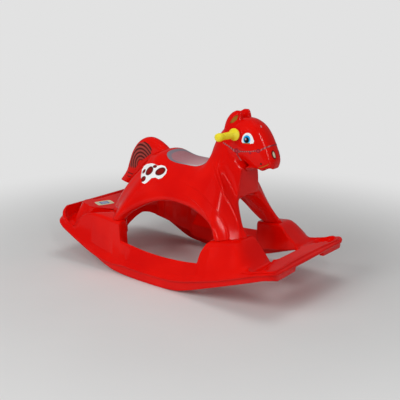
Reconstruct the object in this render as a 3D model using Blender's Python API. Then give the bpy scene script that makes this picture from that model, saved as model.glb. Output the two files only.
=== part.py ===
"""Moulded rocking horse: a one-piece rocker base, a hollow horse body standing on four foot
blocks, two push-in grips through the head, four leg screws with washers, and film decals.

X points to the head, Y to the rider's left, Z up. The origin is under the middle of the base,
on the floor. All sizes are in metres.
"""
import math

import bmesh
import bpy
import numpy as np
from mathutils import Matrix, Vector
from mathutils.bvhtree import BVHTree

# Clearances and walls
GAP = 0.0003
BASE_WALL = 0.004
BODY_WALL = 0.004
EAR_WALL = 0.004
TAIL_WALL = 0.004

# Rocker base: plan
REAR_END = -0.444
FRONT_END = 0.437
LIP_END_HALF_WIDTH = 0.206
LIP_BOW = 0.008
REAR_CORNER_RADIUS = 0.046
FRONT_CORNER_RADIUS = 0.030
RAIL_INNER_HALF_WIDTH = 0.162
BLOCK_INNER_HALF_WIDTH = 0.068
OPENING_REAR_X = -0.225
OPENING_FRONT_X = 0.352

# Rocker base: heights along the length
ROCKER_RADIUS = 1.6
BALANCE_X = -0.0045
FACET_LENGTH = 0.050
REAR_RISE_START = -0.173
REAR_RISE_SLOPE = 0.425
FRONT_RISE_START = 0.108
FRONT_RISE_SLOPE = 0.355
RISE_BLEND = 0.020
RUNNER_WIDTH = 0.012
RUNNER_INSET = 0.005
LIP_THICKNESS = 0.004
CREASE_MIDDLE = 0.053
CREASE_INSET = 0.012
RAIL_TOP_MIDDLE = 0.0945
RAIL_TOP_INNER = 0.078
INNER_WALL_ABOVE_RUNNER = 0.028

# Foot blocks
FRONT_BLOCK_REAR = 0.166
FRONT_BLOCK_FRONT = 0.336
FRONT_PAD_HEIGHT = 0.1696
FRONT_PAD_X = 0.200
FRONT_PAD_SLOPE = 0.135
FRONT_SHOULDER_DROP = 0.009
REAR_BLOCK_FRONT = -0.139
REAR_BLOCK_TOP_FRONT = -0.150
REAR_BLOCK_TOP_REAR = -0.340
REAR_BLOCK_REAR = -0.372
REAR_PAD_HEIGHT = 0.1655
REAR_PAD_X = -0.140
REAR_PAD_SLOPE = -0.120
REAR_BLOCK_DRAFT = 0.010
FRONT_BLOCK_DRAFT = 0.038

# End rims
REAR_RIM_HEIGHT = 0.166
REAR_FLOOR_HEIGHT = 0.132
REAR_DITCH_HEIGHT = 0.150
REAR_BAR_BOTTOM = 0.143
FRONT_RIM_HEIGHT = 0.137
FRONT_FLOOR_HEIGHT = 0.124
RIM_WIDTH = 0.010

# Grips
GRIP_X = 0.194
GRIP_Z = 0.468
GRIP_RADIUS = 0.0105
GRIP_RIBS = 7
GRIP_SIDES = 22
GRIP_FLANGE_RADIUS = 0.0182
GRIP_FLANGE_THICKNESS = 0.0055
GRIP_KNOB_RADIUS = 0.0128
GRIP_END_Y = 0.111
GRIP_SWEEP = 0.36
GRIP_DROOP = 0.07
BOSS_RADIUS = 0.0195
BOSS_ROOT_Y = 0.0445
BOSS_FACE_Y = 0.0510
SPIGOT_RADIUS = 0.0085
SPIGOT_END_Y = 0.016
PIN_RADIUS = 0.0055
PIN_END_Y = -0.020
SOCKET_CLEARANCE = 0.0003

# Fasteners
SCREW_RADIUS = 0.0022
SCREW_LENGTH = 0.016
SCREW_HEAD_RADIUS = 0.0048
SCREW_HEAD_HEIGHT = 0.0032
WASHER_RADIUS = 0.0085
WASHER_THICKNESS = 0.0012
SCREW_CLEARANCE = 0.0006
SCREW_PLACES = ((0.234, -0.112), (0.234, 0.112), (-0.190, -0.150), (-0.190, 0.150))

# Film decals
FILM_THICKNESS = 0.0004

# Colours, linear
RED = (0.70, 0.004, 0.002, 1.0)
YELLOW = (0.85, 0.72, 0.02, 1.0)
STEEL = (0.55, 0.56, 0.58, 1.0)
WHITE = (0.80, 0.80, 0.80, 1.0)
MAUVE = (0.42, 0.20, 0.22, 1.0)
BROWN = (0.14, 0.035, 0.02, 1.0)
OCHRE = (0.35, 0.13, 0.02, 1.0)


def clear_scene():
    for thing in list(bpy.data.objects):
        bpy.data.objects.remove(thing, do_unlink=True)


def material(name, colour, roughness, metallic=0.0):
    made = bpy.data.materials.new(name)
    made.use_nodes = True
    shader = made.node_tree.nodes["Principled BSDF"]
    shader.inputs["Base Color"].default_value = colour
    shader.inputs["Roughness"].default_value = roughness
    shader.inputs["Metallic"].default_value = metallic
    return made


def add_object(name, mesh, finish, parent=None):
    thing = bpy.data.objects.new(name, mesh)
    bpy.context.scene.collection.objects.link(thing)
    if finish is not None:
        mesh.materials.clear()
        mesh.materials.append(finish)
    thing.parent = parent
    return thing


def mesh_from(name, points, faces, smooth=True):
    mesh = bpy.data.meshes.new(name)
    mesh.from_pydata([tuple(p) for p in points], [], faces)
    mesh.validate()
    if smooth:
        mesh.shade_smooth()
        mesh.set_sharp_from_angle(angle=math.radians(35))
    return mesh


def baked(thing):
    """The object's mesh with its modifiers applied, in world space."""
    bpy.context.view_layer.update()
    graph = bpy.context.evaluated_depsgraph_get()
    mesh = bpy.data.meshes.new_from_object(thing.evaluated_get(graph))
    mesh.transform(thing.matrix_world)
    return mesh


def boolean(target, tool, operation):
    step = target.modifiers.new(operation.lower(), "BOOLEAN")
    step.operation = operation
    step.object = tool
    step.solver = "EXACT"
    return step


def as_cutter(thing):
    thing.hide_render = True
    thing.display_type = "WIRE"
    return thing


def ramp(t):
    """A straight rise that starts at t = 0 with a soft bend."""
    return RISE_BLEND * np.logaddexp(0.0, t / RISE_BLEND)


# Heights of the base along its length
def runner_bottom(x):
    off = max(abs(x - BALANCE_X) - FACET_LENGTH / 2, 0.0)
    middle = min(off * off / (2 * ROCKER_RADIUS), 0.004) * min(off / 0.030, 1.0)
    return middle + (0.0 if off <= 0 else FRONT_RISE_SLOPE * ramp(x - FRONT_RISE_START)
                     + REAR_RISE_SLOPE * ramp(REAR_RISE_START - x))


def lip_gap(x):
    """How far the skirt's lower edge stands above the runner."""
    if x > 0:
        return 0.030 - 0.012 * min(max(x - 0.10, 0.0) / 0.16, 1.0)
    return 0.002 + 0.028 * min(max(x + 0.26, 0.0) / 0.14, 1.0)


def crease_height(x):
    return CREASE_MIDDLE + 0.245 * ramp(x - 0.085) + 0.37 * ramp(-0.185 - x)


def rail_top(x):
    return RAIL_TOP_MIDDLE + 0.55 * (x - 0.03) ** 2


def rail_inner_top(x):
    return RAIL_TOP_INNER + 0.25 * x * x


def inner_bottom(x):
    if x > FRONT_BLOCK_REAR:
        return 0.058 + 0.027 * min((x - FRONT_BLOCK_REAR) / 0.05, 1.0) + 0.20 * max(x - 0.216, 0)
    return INNER_WALL_ABOVE_RUNNER + runner_bottom(x)


def lip_half_width(x):
    return LIP_END_HALF_WIDTH + LIP_BOW * (1 - (x / FRONT_END) ** 2)


def front_pad(x):
    return FRONT_PAD_HEIGHT + FRONT_PAD_SLOPE * (x - FRONT_PAD_X)


def rear_pad(x):
    return REAR_PAD_HEIGHT + REAR_PAD_SLOPE * (x - REAR_PAD_X)


# Sections of the base: rows of (inward distance, height) from the runner to the inner wall
def lower_rows(low, lip, crease):
    return [(RUNNER_INSET + RUNNER_WIDTH, low), (RUNNER_INSET, low), (RUNNER_INSET, lip),
            (0.0, lip), (0.0, lip + LIP_THICKNESS), (CREASE_INSET, crease)]


def rail_rows(x, width):
    top = rail_top(x)
    inner = rail_inner_top(x)
    rows = [(0.015, top - 0.006), (0.019, top)]
    for share in (0.2, 0.45, 0.7, 0.9):
        rows.append((0.019 + (width - 0.025) * share, top + (inner - top) * share ** 1.4))
    return rows + [(width - 0.004, inner), (width, inner - 0.005), (width, inner_bottom(x))]


def block_rows(width, place, pad, drop, shoulder_drop, edge, bottom):
    """A foot block: its side up to the shoulder, the flat pad and the inner wall."""
    shoulder = pad(place(edge)) - drop - shoulder_drop
    rows = [(edge - 0.002, shoulder - 0.006), (edge + 0.005, shoulder)]
    for share, part in ((0.12, 0.35), (0.3, 0.0), (0.6, 0.0), (0.85, 0.0)):
        reach = edge + 0.005 + (width - edge - 0.009) * share
        rows.append((reach, pad(place(reach)) - drop - shoulder_drop * part))
    rows.append((width - 0.004, pad(place(width - 0.004)) - drop))
    return rows + [(width, pad(place(width)) - drop - 0.005), (width, bottom)]


def rim_rows(width, place, rim, floor, deck, pad, bottom):
    """An end of the base: rim, sunk floor and the deck between two distances."""
    rows = [(CREASE_INSET, rim - 0.004), (CREASE_INSET + 0.003, rim)]
    rows += [(CREASE_INSET + RIM_WIDTH, rim), (CREASE_INSET + RIM_WIDTH + 0.008, floor)]
    rows += [(deck[0], floor), (deck[1], pad(place(deck[1])))]
    rows.append((width - 0.006, pad(place(width - 0.006))))
    return rows + [(width, pad(place(width)) - 0.005), (width, bottom)]


def base_stations():
    """Half of the ring, from the rear centre along the right side to the front centre."""
    stations = []

    def add(outer, inner, low, lip, crease, rows_of):
        outer, inner = Vector(outer), Vector(inner)
        width = (inner - outer).length

        def place(reach):
            return outer.x + (inner.x - outer.x) * reach / width

        stations.append((outer, inner, lower_rows(low, lip, crease) + rows_of(width, place)))

    # Rear bar, from the centre to the corner
    rear_low = runner_bottom(REAR_END + 0.02)
    crease_rear = REAR_RIM_HEIGHT - 0.022
    deck = (REAR_BLOCK_REAR - REAR_END, REAR_BLOCK_TOP_REAR - REAR_END)
    for y, inner_y, floor, bottom in (
            (0.0, 0.0, REAR_DITCH_HEIGHT, REAR_BAR_BOTTOM),
            (0.040, 0.028, REAR_DITCH_HEIGHT, REAR_BAR_BOTTOM - 0.006),
            (0.085, 0.052, REAR_DITCH_HEIGHT - 0.006, REAR_BAR_BOTTOM - 0.016),
            (0.125, 0.068, REAR_DITCH_HEIGHT - 0.012, REAR_BAR_BOTTOM - 0.024)):
        add((REAR_END, -y), (OPENING_REAR_X, -inner_y), rear_low + 0.006, rear_low + 0.010,
            crease_rear,
            lambda w, at: rim_rows(w, at, REAR_RIM_HEIGHT, floor, deck, rear_pad, bottom))
    # Rear corner
    radius = REAR_CORNER_RADIUS
    centre = Vector((REAR_END + radius, radius - lip_half_width(REAR_END + radius)))
    for step in range(5):
        angle = math.pi + step * math.pi / 8
        outer = centre + radius * Vector((math.cos(angle), math.sin(angle)))
        turn = step / 4
        inner = (OPENING_REAR_X + 0.004 * step, -0.076 - 0.004 * step)
        low = rear_low + 0.006 * (1 - turn) + (runner_bottom(outer.x) - rear_low) * turn
        rim = REAR_RIM_HEIGHT + (crease_height(outer.x) - REAR_RIM_HEIGHT) * turn * 0.75
        crease = crease_rear + (crease_height(outer.x) - crease_rear) * turn
        add(outer, inner, low, low + 0.004, min(crease, rim - 0.006),
            lambda w, at: rim_rows(w, at, rim, REAR_FLOOR_HEIGHT - 0.010 * turn,
                                   (0.050, 0.092), rear_pad, 0.113 - 0.003 * step))
    # Rear block
    fan = ((-0.345, -0.208, 0.096, 0.030, 0.099), (-0.318, -0.204, 0.101, 0.014, 0.095),
           (-0.280, -0.198, 0.108, 0.002, 0.090), (-0.235, -0.190, 0.116, 0.0, 0.083),
           (-0.200, -0.182, 0.128, 0.0, 0.073), (-0.170, -0.168, 0.142, 0.0, 0.062),
           (REAR_BLOCK_TOP_FRONT, REAR_BLOCK_TOP_FRONT, 0.158, 0.0, 0.050))
    for x, inner_x, inner_y, drop, bottom in fan:
        low = runner_bottom(x)
        add((x, -lip_half_width(x)), (inner_x, -inner_y), low, low + lip_gap(x),
            crease_height(x),
            lambda w, at: block_rows(w, at, rear_pad, drop, 0.002,
                                     CREASE_INSET + REAR_BLOCK_DRAFT, bottom))
    # Rail
    for x in (REAR_BLOCK_FRONT, -0.115, -0.085, -0.055, BALANCE_X - FACET_LENGTH / 2,
              BALANCE_X + FACET_LENGTH / 2, 0.045, 0.072, 0.100, 0.130, 0.152,
              FRONT_BLOCK_REAR):
        low = runner_bottom(x)
        inner_y = RAIL_INNER_HALF_WIDTH if x < FRONT_BLOCK_REAR else 0.150
        add((x, -lip_half_width(x)), (x, -inner_y), low, low + lip_gap(x), crease_height(x),
            lambda w, at: rail_rows(x, w))
    # Front block
    for x, inner_x, inner_y, drop in (
            (0.174, 0.178, 0.100, 0.016), (0.184, 0.186, 0.090, 0.001),
            (0.206, 0.206, 0.082, 0.0), (0.236, 0.240, 0.074, 0.0),
            (0.262, 0.276, BLOCK_INNER_HALF_WIDTH, 0.0),
            (0.274, 0.288, BLOCK_INNER_HALF_WIDTH, 0.004),
            (0.300, 0.310, BLOCK_INNER_HALF_WIDTH, 0.028),
            (FRONT_BLOCK_FRONT - 0.008, FRONT_BLOCK_FRONT, BLOCK_INNER_HALF_WIDTH + 0.004,
             0.060)):
        low = runner_bottom(x)
        edge = CREASE_INSET + FRONT_BLOCK_DRAFT - 0.45 * drop
        add((x, -lip_half_width(x)), (inner_x, -inner_y), low, low + lip_gap(x),
            crease_height(x),
            lambda w, at: block_rows(w, at, front_pad, drop, FRONT_SHOULDER_DROP, edge,
                                     inner_bottom(inner_x)))
    # Front corner
    floor = FRONT_FLOOR_HEIGHT
    for x, inner_x in ((0.352, OPENING_FRONT_X - 0.006), (0.380, OPENING_FRONT_X)):
        low = runner_bottom(x)
        crease = crease_height(x)
        add((x, -lip_half_width(x)), (inner_x, -BLOCK_INNER_HALF_WIDTH - 0.002), low,
            low + lip_gap(x), crease,
            lambda w, at: rim_rows(w, at, crease + 0.003, floor - 0.010, (0.05, 0.06),
                                   lambda spot: floor - 0.008, 0.108))
    radius = FRONT_CORNER_RADIUS
    centre = Vector((FRONT_END - radius, radius - lip_half_width(FRONT_END - radius)))
    front_low = runner_bottom(FRONT_END) - 0.012
    front_crease = FRONT_RIM_HEIGHT - 0.004

    def front_rows(width, place):
        return rim_rows(width, place, FRONT_RIM_HEIGHT, floor, (0.05, 0.06),
                        lambda spot: floor, 0.108)

    for step in range(5):
        angle = -math.pi / 2 + step * math.pi / 8
        outer = centre + radius * Vector((math.cos(angle), math.sin(angle)))
        inner = (OPENING_FRONT_X + 0.001 * step, -BLOCK_INNER_HALF_WIDTH + 0.002 * step)
        low = runner_bottom(outer.x) + (front_low - runner_bottom(outer.x)) * step / 4
        add(outer, inner, low, low + 0.016, min(crease_height(outer.x), front_crease),
            front_rows)
    # Front bar
    for y, inner_y, lift in ((0.150, 0.056, 0.0), (0.084, 0.050, 0.0), (0.078, 0.044, 0.013),
                             (0.040, 0.024, 0.013), (0.0, 0.0, 0.013)):
        add((FRONT_END, -y), (OPENING_FRONT_X + 0.005, -inner_y), front_low + lift,
            max(front_low + 0.016, front_low + lift + 0.003), front_crease, front_rows)
    return stations


def base_grid():
    """The outer skin as rows of points, one row for each station all round the ring."""
    half = []
    for outer, inner, rows in base_stations():
        inward = (inner - outer).normalized()
        half.append([Vector((*(outer + inward * reach), height)) for reach, height in rows])
    mirrored = [[Vector((p.x, -p.y, p.z)) for p in row] for row in half[1:-1]]
    return half + mirrored[::-1]


def offset_grid(grid, first, thickness):
    """Points moved inwards from the outer skin along its normals, from row `first` on."""
    count = len(grid)
    result = []
    for i, row in enumerate(grid):
        before = grid[i - 1]
        after = grid[(i + 1) % count]
        moved = []
        for j in range(first, len(row)):
            along = after[j] - before[j]
            across = row[min(j + 1, len(row) - 1)] - row[j - 1]
            outward = along.cross(across).normalized()
            moved.append(row[j] - outward * thickness)
        result.append(moved)
    return result


def rocker_base(finish):
    grid = base_grid()
    crease_row = 5
    inner = offset_grid(grid, crease_row, BASE_WALL)
    loops = [row + moved[::-1] for row, moved in zip(grid, inner)]
    size = len(loops[0])
    points = [p for loop in loops for p in loop]
    faces = []
    for i in range(len(loops)):
        k = (i + 1) % len(loops)
        for j in range(size):
            m = (j + 1) % size
            faces.append((i * size + j, k * size + j, k * size + m, i * size + m))
    mesh = mesh_from("rocker_base", points, faces)
    return add_object("rocker_base", mesh, finish)


# Horse body: cross stations from the rear legs to the front legs. Each row holds the top (x, z),
# the shoulder, the flank, the outer and the inner lower edge, the knee of the inner side (x, y, z)
# and the belly (x, z). Lower edges without a height stand on the pad of their block.
STATIONS = (
    ((-0.150, 0.352), (-0.150, 0.064, 0.330), (-0.205, 0.098, 0.256), (-0.250, 0.112, None),
     (-0.240, 0.085, None), (-0.192, 0.050, 0.252), (-0.172, 0.276)),
    ((-0.128, 0.370), (-0.125, 0.073, 0.342), (-0.170, 0.117, 0.266), (-0.210, 0.150, None),
     (-0.190, 0.118, None), (-0.160, 0.062, 0.250), (-0.150, 0.268)),
    ((-0.107, 0.379), (-0.103, 0.079, 0.347), (-0.138, 0.137, 0.266), (-0.177, 0.186, None),
     (-0.157, 0.158, None), (-0.132, 0.074, 0.251), (-0.126, 0.266)),
    ((-0.092, 0.381), (-0.086, 0.080, 0.348), (-0.110, 0.134, 0.274), (-0.145, 0.170, 0.195),
     (-0.137, 0.145, 0.191), (-0.114, 0.078, 0.255), (-0.108, 0.266)),
    ((-0.074, 0.377), (-0.068, 0.077, 0.348), (-0.084, 0.125, 0.284), (-0.111, 0.150, 0.215),
     (-0.111, 0.126, 0.211), (-0.093, 0.080, 0.259), (-0.088, 0.267)),
    ((-0.052, 0.367), (-0.046, 0.072, 0.349), (-0.057, 0.117, 0.291), (-0.073, 0.134, 0.235),
     (-0.076, 0.112, 0.231), (-0.064, 0.078, 0.262), (-0.062, 0.268)),
    ((-0.028, 0.359), (-0.025, 0.069, 0.350), (-0.029, 0.112, 0.297), (-0.034, 0.127, 0.2465),
     (-0.035, 0.104, 0.244), (-0.033, 0.075, 0.263), (-0.032, 0.268)),
    ((0.004, 0.357), (0.004, 0.068, 0.350), (0.003, 0.110, 0.299), (0.002, 0.124, 0.2515),
     (0.002, 0.102, 0.250), (0.002, 0.075, 0.263), (0.002, 0.268)),
    ((0.038, 0.358), (0.037, 0.067, 0.350), (0.039, 0.110, 0.299), (0.042, 0.124, 0.2500),
     (0.042, 0.100, 0.248), (0.040, 0.072, 0.263), (0.040, 0.268)),
    ((0.070, 0.365), (0.066, 0.066, 0.352), (0.073, 0.112, 0.296), (0.084, 0.126, 0.2430),
     (0.082, 0.094, 0.243), (0.078, 0.066, 0.263), (0.076, 0.269)),
    (None, (0.090, 0.068, 0.357), (0.105, 0.115, 0.292), (0.118, 0.132, 0.2310),
     (0.115, 0.084, 0.237), (0.108, 0.056, 0.262), (0.108, 0.270)),
    (None, (0.116, 0.070, 0.360), (0.136, 0.118, 0.288), (0.152, 0.141, 0.2180),
     (0.147, 0.070, 0.229), (0.136, 0.044, 0.262), (0.136, 0.272)),
    (None, (0.142, 0.071, 0.360), (0.162, 0.117, 0.284), (0.183, 0.149, 0.1980),
     (0.176, 0.074, 0.205), (0.158, 0.036, 0.264), (0.160, 0.276)),
    (None, (0.168, 0.067, 0.353), (0.186, 0.106, 0.280), (0.203, 0.155, None),
     (0.206, 0.092, None), (0.178, 0.034, 0.266), (0.186, 0.284)),
    ((0.232, 0.350), (0.200, 0.058, 0.326), (0.214, 0.088, 0.252), (0.258, 0.110, None),
     (0.270, 0.090, None), (0.212, 0.048, 0.268), (0.222, 0.280)),
)
NECK_FIRST = 9
FOOT_STATIONS = ((0, 1, 2), (13, 14))

# Neck and head: rings round the throat, each from the crest (x, z) to the throat side (x, z)
# with its half width
HEAD_RINGS = (
    ((0.087, 0.400), (0.220, 0.370), 0.060),
    ((0.105, 0.440), (0.212, 0.379), 0.053),
    ((0.133, 0.478), (0.211, 0.381), 0.050),
    ((0.170, 0.504), (0.213, 0.380), 0.049),
    ((0.208, 0.514), (0.218, 0.377), 0.049),
    ((0.239, 0.508), (0.226, 0.371), 0.048),
    ((0.264, 0.492), (0.234, 0.363), 0.046),
    ((0.285, 0.465), (0.243, 0.356), 0.042),
    ((0.300, 0.436), (0.256, 0.353), 0.038),
    ((0.309, 0.412), (0.271, 0.358), 0.034),
    ((0.312, 0.393), (0.288, 0.366), 0.026),
)
HEAD_SIDE_POWER = 0.8

# Ears: rings of back x, front x, height and half thickness
EAR_RINGS = (
    (0.138, 0.206, 0.474, 0.017),
    (0.141, 0.204, 0.488, 0.016),
    (0.145, 0.202, 0.500, 0.015),
    (0.151, 0.201, 0.511, 0.013),
    (0.159, 0.199, 0.521, 0.010),
    (0.168, 0.197, 0.528, 0.007),
    (0.178, 0.194, 0.533, 0.003),
)
EAR_Y = 0.024
EAR_LEAN = -0.05
EAR_SIDES = 16

# Tail: rings from the croup, each from its outer (x, z) to its inner (x, z) with a half width
TAIL_RINGS = (
    ((-0.090, 0.368), (-0.100, 0.340), 0.012),
    ((-0.116, 0.388), (-0.112, 0.338), 0.016),
    ((-0.146, 0.403), (-0.126, 0.338), 0.018),
    ((-0.177, 0.409), (-0.146, 0.338), 0.019),
    ((-0.208, 0.402), (-0.165, 0.330), 0.019),
    ((-0.237, 0.382), (-0.186, 0.316), 0.018),
    ((-0.260, 0.352), (-0.206, 0.296), 0.017),
    ((-0.276, 0.316), (-0.225, 0.274), 0.016),
    ((-0.291, 0.281), (-0.246, 0.253), 0.014),
    ((-0.320, 0.246), (-0.274, 0.236), 0.010),
)
TAIL_SIDES = 12


def rest_height(x):
    return (front_pad(x) if x > 0 else rear_pad(x)) + GAP


def curve_through(first, middle, last, share):
    """Point at a share of the way along the parabola through three points."""
    first, middle, last = Vector(first), Vector(middle), Vector(last)
    return (first * (2 * share - 1) * (share - 1) + middle * 4 * share * (1 - share)
            + last * share * (2 * share - 1))


def grounded(point):
    x, y, z = point
    return Vector((x, y, rest_height(x) if z is None else z))


def outer_chain(station):
    top, shoulder, flank, edge = station[:4]
    shoulder = Vector(shoulder)
    chain = [None, None, None, shoulder]
    if top:
        head = Vector((top[0], 0.0, top[1]))
        chain[0] = head
        for place, share, drop in ((1, 0.36, 0.06), (2, 0.72, 0.30)):
            point = head.lerp(shoulder, share)
            point.x = head.x + (shoulder.x - head.x) * drop
            point.z = head.z + (shoulder.z - head.z) * drop
            chain[place] = point
    for share in (1 / 3, 2 / 3, 1.0):
        chain.append(curve_through(shoulder, flank, grounded(edge), share))
    return chain


def inner_chain(station):
    edge, knee, belly = station[4:]
    low = grounded(edge)
    knee = Vector(knee)
    centre = Vector((belly[0], 0.0, belly[1]))
    chain = [centre]
    for share, drop in ((0.35, 0.10), (0.70, 0.42)):
        point = centre.lerp(knee, share)
        point.x = centre.x + (knee.x - centre.x) * drop
        point.z = centre.z + (knee.z - centre.z) * drop
        chain.append(point)
    return chain + [knee, knee.lerp(low, 0.34), knee.lerp(low, 0.67), low]


def body_cage():
    """Right half of the body as a cage of quads with Y at or below zero."""
    cage = bmesh.new()
    crease = cage.edges.layers.float.new("crease_edge")

    def put(point):
        return cage.verts.new((point.x, -point.y, point.z))

    outer = [[put(p) if p else None for p in outer_chain(s)] for s in STATIONS]
    inner = [[put(p) for p in inner_chain(s)] for s in STATIONS]
    last = len(STATIONS) - 1
    rows = len(inner[0]) - 1
    for u in range(last):
        for v in range(rows):
            if u < NECK_FIRST or v > 2:
                cage.faces.new((outer[u][v], outer[u + 1][v], outer[u + 1][v + 1], outer[u][v + 1]))
            cage.faces.new((inner[u][v], inner[u][v + 1], inner[u + 1][v + 1], inner[u + 1][v]))
        cage.faces.new((outer[u][rows], outer[u + 1][rows], inner[u + 1][rows], inner[u][rows]))
    for u in (0, last):
        for v in range(rows):
            quad = (outer[u][v], outer[u][v + 1], inner[u][v + 1], inner[u][v])
            cage.faces.new(quad if u == 0 else quad[::-1])
    # Neck opening, then the rings of the neck and head
    first = outer[NECK_FIRST]
    ring = first[:4] + [outer[u][3] for u in range(NECK_FIRST + 1, last)] + outer[last][3::-1]
    count = len(ring)
    for crest, throat, width in HEAD_RINGS:
        following = []
        for j in range(count):
            turn = math.pi * j / (count - 1)
            share = (1 - math.cos(turn)) / 2
            following.append(put(Vector((crest[0] + (throat[0] - crest[0]) * share,
                                         width * abs(math.sin(turn)) ** HEAD_SIDE_POWER
                                         if 0 < j < count - 1 else 0.0,
                                         crest[1] + (throat[1] - crest[1]) * share))))
        for j in range(count - 1):
            cage.faces.new((ring[j], ring[j + 1], following[j + 1], following[j]))
        ring = following
    for j in range(count // 2 - 1):
        cage.faces.new((ring[j], ring[j + 1], ring[count - 2 - j], ring[count - 1 - j]))
    # Flat soles with a firm edge
    for foot in FOOT_STATIONS:
        sole = [outer[u][rows] for u in foot] + [inner[u][rows] for u in foot[::-1]]
        for first, second in zip(sole, sole[1:] + sole[:1]):
            cage.edges.get((first, second))[crease] = 1.0
    bmesh.ops.recalc_face_normals(cage, faces=cage.faces)
    mesh = bpy.data.meshes.new("horse_body_cage")
    cage.to_mesh(mesh)
    cage.free()
    return mesh


def fit_cage(thing, rounds=4):
    """Moves the cage until the rounded surface passes through the wanted points."""
    mesh = thing.data
    wanted = [v.co.copy() for v in mesh.vertices]
    for _ in range(rounds):
        rounded = baked(thing)
        for vertex, goal in zip(mesh.vertices, wanted):
            step = goal - rounded.vertices[vertex.index].co
            if goal.y == 0:
                step.y = 0.0
            vertex.co += step
        bpy.data.meshes.remove(rounded)


def tube_mesh(name, rings, finish, smooth=True):
    """A closed solid through rings of equal count with its ends capped."""
    size = len(rings[0])
    points = [p for ring in rings for p in ring]
    faces = [tuple(range(size))[::-1]]
    for i in range(len(rings) - 1):
        for j in range(size):
            k = (j + 1) % size
            faces.append((i * size + j, i * size + k, (i + 1) * size + k, (i + 1) * size + j))
    faces.append(tuple((len(rings) - 1) * size + j for j in range(size)))
    mesh = mesh_from(name, points, faces, smooth)
    shape = bmesh.new()
    shape.from_mesh(mesh)
    bmesh.ops.recalc_face_normals(shape, faces=shape.faces)
    shape.to_mesh(mesh)
    shape.free()
    return add_object(name, mesh, finish)


def ear(side, finish, inset=0.0):
    """An ear, or with an inset the hollow inside it."""
    rings = []
    for back, front, height, half_width in EAR_RINGS[:5 if inset else None]:
        ring = []
        for step in range(EAR_SIDES):
            turn = 2 * math.pi * step / EAR_SIDES
            ring.append((
                (back + front) / 2 + ((front - back) / 2 - inset) * math.cos(turn),
                side * (EAR_Y + EAR_LEAN * (height - EAR_RINGS[0][2]))
                + (half_width - inset) * math.sin(turn),
                height - inset))
        rings.append(ring)
    return tube_mesh("ear", rings, finish)


def tail(finish, inset=0.0):
    """The tail, or with an inset the hollow inside it."""
    rings = []
    for outer, inner, half_width in TAIL_RINGS[:-1 if inset else None]:
        outer = Vector(outer)
        inner = Vector(inner)
        across = (inner - outer).normalized() * inset
        outer, inner = outer + across, inner - across
        ring = []
        for step in range(TAIL_SIDES):
            turn = 2 * math.pi * step / TAIL_SIDES
            share = (1 - math.cos(turn)) / 2
            wide = math.copysign(abs(math.sin(turn)) ** 0.8, math.sin(turn))
            ring.append((outer.x + (inner.x - outer.x) * share, wide * (half_width - inset),
                         outer.y + (inner.y - outer.y) * share))
        rings.append(ring)
    return tube_mesh("tail", rings, finish)


def horse_skin(finish, levels=1):
    thing = add_object("horse_skin", body_cage(), finish)
    mirror = thing.modifiers.new("mirror", "MIRROR")
    mirror.use_axis = (False, True, False)
    mirror.use_clip = True
    mirror.merge_threshold = 0.0001
    rounding = thing.modifiers.new("rounding", "SUBSURF")
    rounding.levels = 1
    rounding.render_levels = 1
    fit_cage(thing)
    rounding.levels = levels
    rounding.render_levels = levels
    return thing


def hollow(thing):
    """Leaves a moulded wall inside the skin."""
    shell = thing.modifiers.new("wall", "SOLIDIFY")
    shell.thickness = BODY_WALL
    shell.offset = -1.0
    return thing


def cylinder_rings(radius, start, stop, sides=24):
    """Two rings of a cylinder along Y about the grip axis."""
    rings = []
    for y in (start, stop):
        rings.append([(GRIP_X + radius * math.cos(2 * math.pi * i / sides), y,
                       GRIP_Z + radius * math.sin(2 * math.pi * i / sides))
                      for i in range(sides)])
    return rings


def horse_body(finish):
    skin = horse_skin(finish)
    hollow(skin)
    extras = [ear(-1, finish), ear(1, finish), tail(finish)]
    for side in (-1, 1):
        extras.append(tube_mesh("boss", cylinder_rings(
            BOSS_RADIUS, side * BOSS_ROOT_Y, side * BOSS_FACE_Y, 32), finish))
    for extra in extras:
        boolean(skin, extra, "UNION")
    cutters = [tube_mesh("bore", cylinder_rings(SPIGOT_RADIUS + SOCKET_CLEARANCE,
                                                -0.075, 0.075, 32), finish)]
    cutters += [ear(-1, finish, EAR_WALL), ear(1, finish, EAR_WALL), tail(finish, TAIL_WALL)]
    cutters += [fastener_hole(place, finish) for place in SCREW_PLACES]
    for cutter in cutters:
        boolean(skin, as_cutter(cutter), "DIFFERENCE")
    body = add_object("horse_body", baked(skin), finish)
    for thing in [skin] + extras + cutters:
        bpy.data.objects.remove(thing, do_unlink=True)
    body.data.shade_smooth()
    body.data.set_sharp_from_angle(angle=math.radians(40))
    return body


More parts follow.
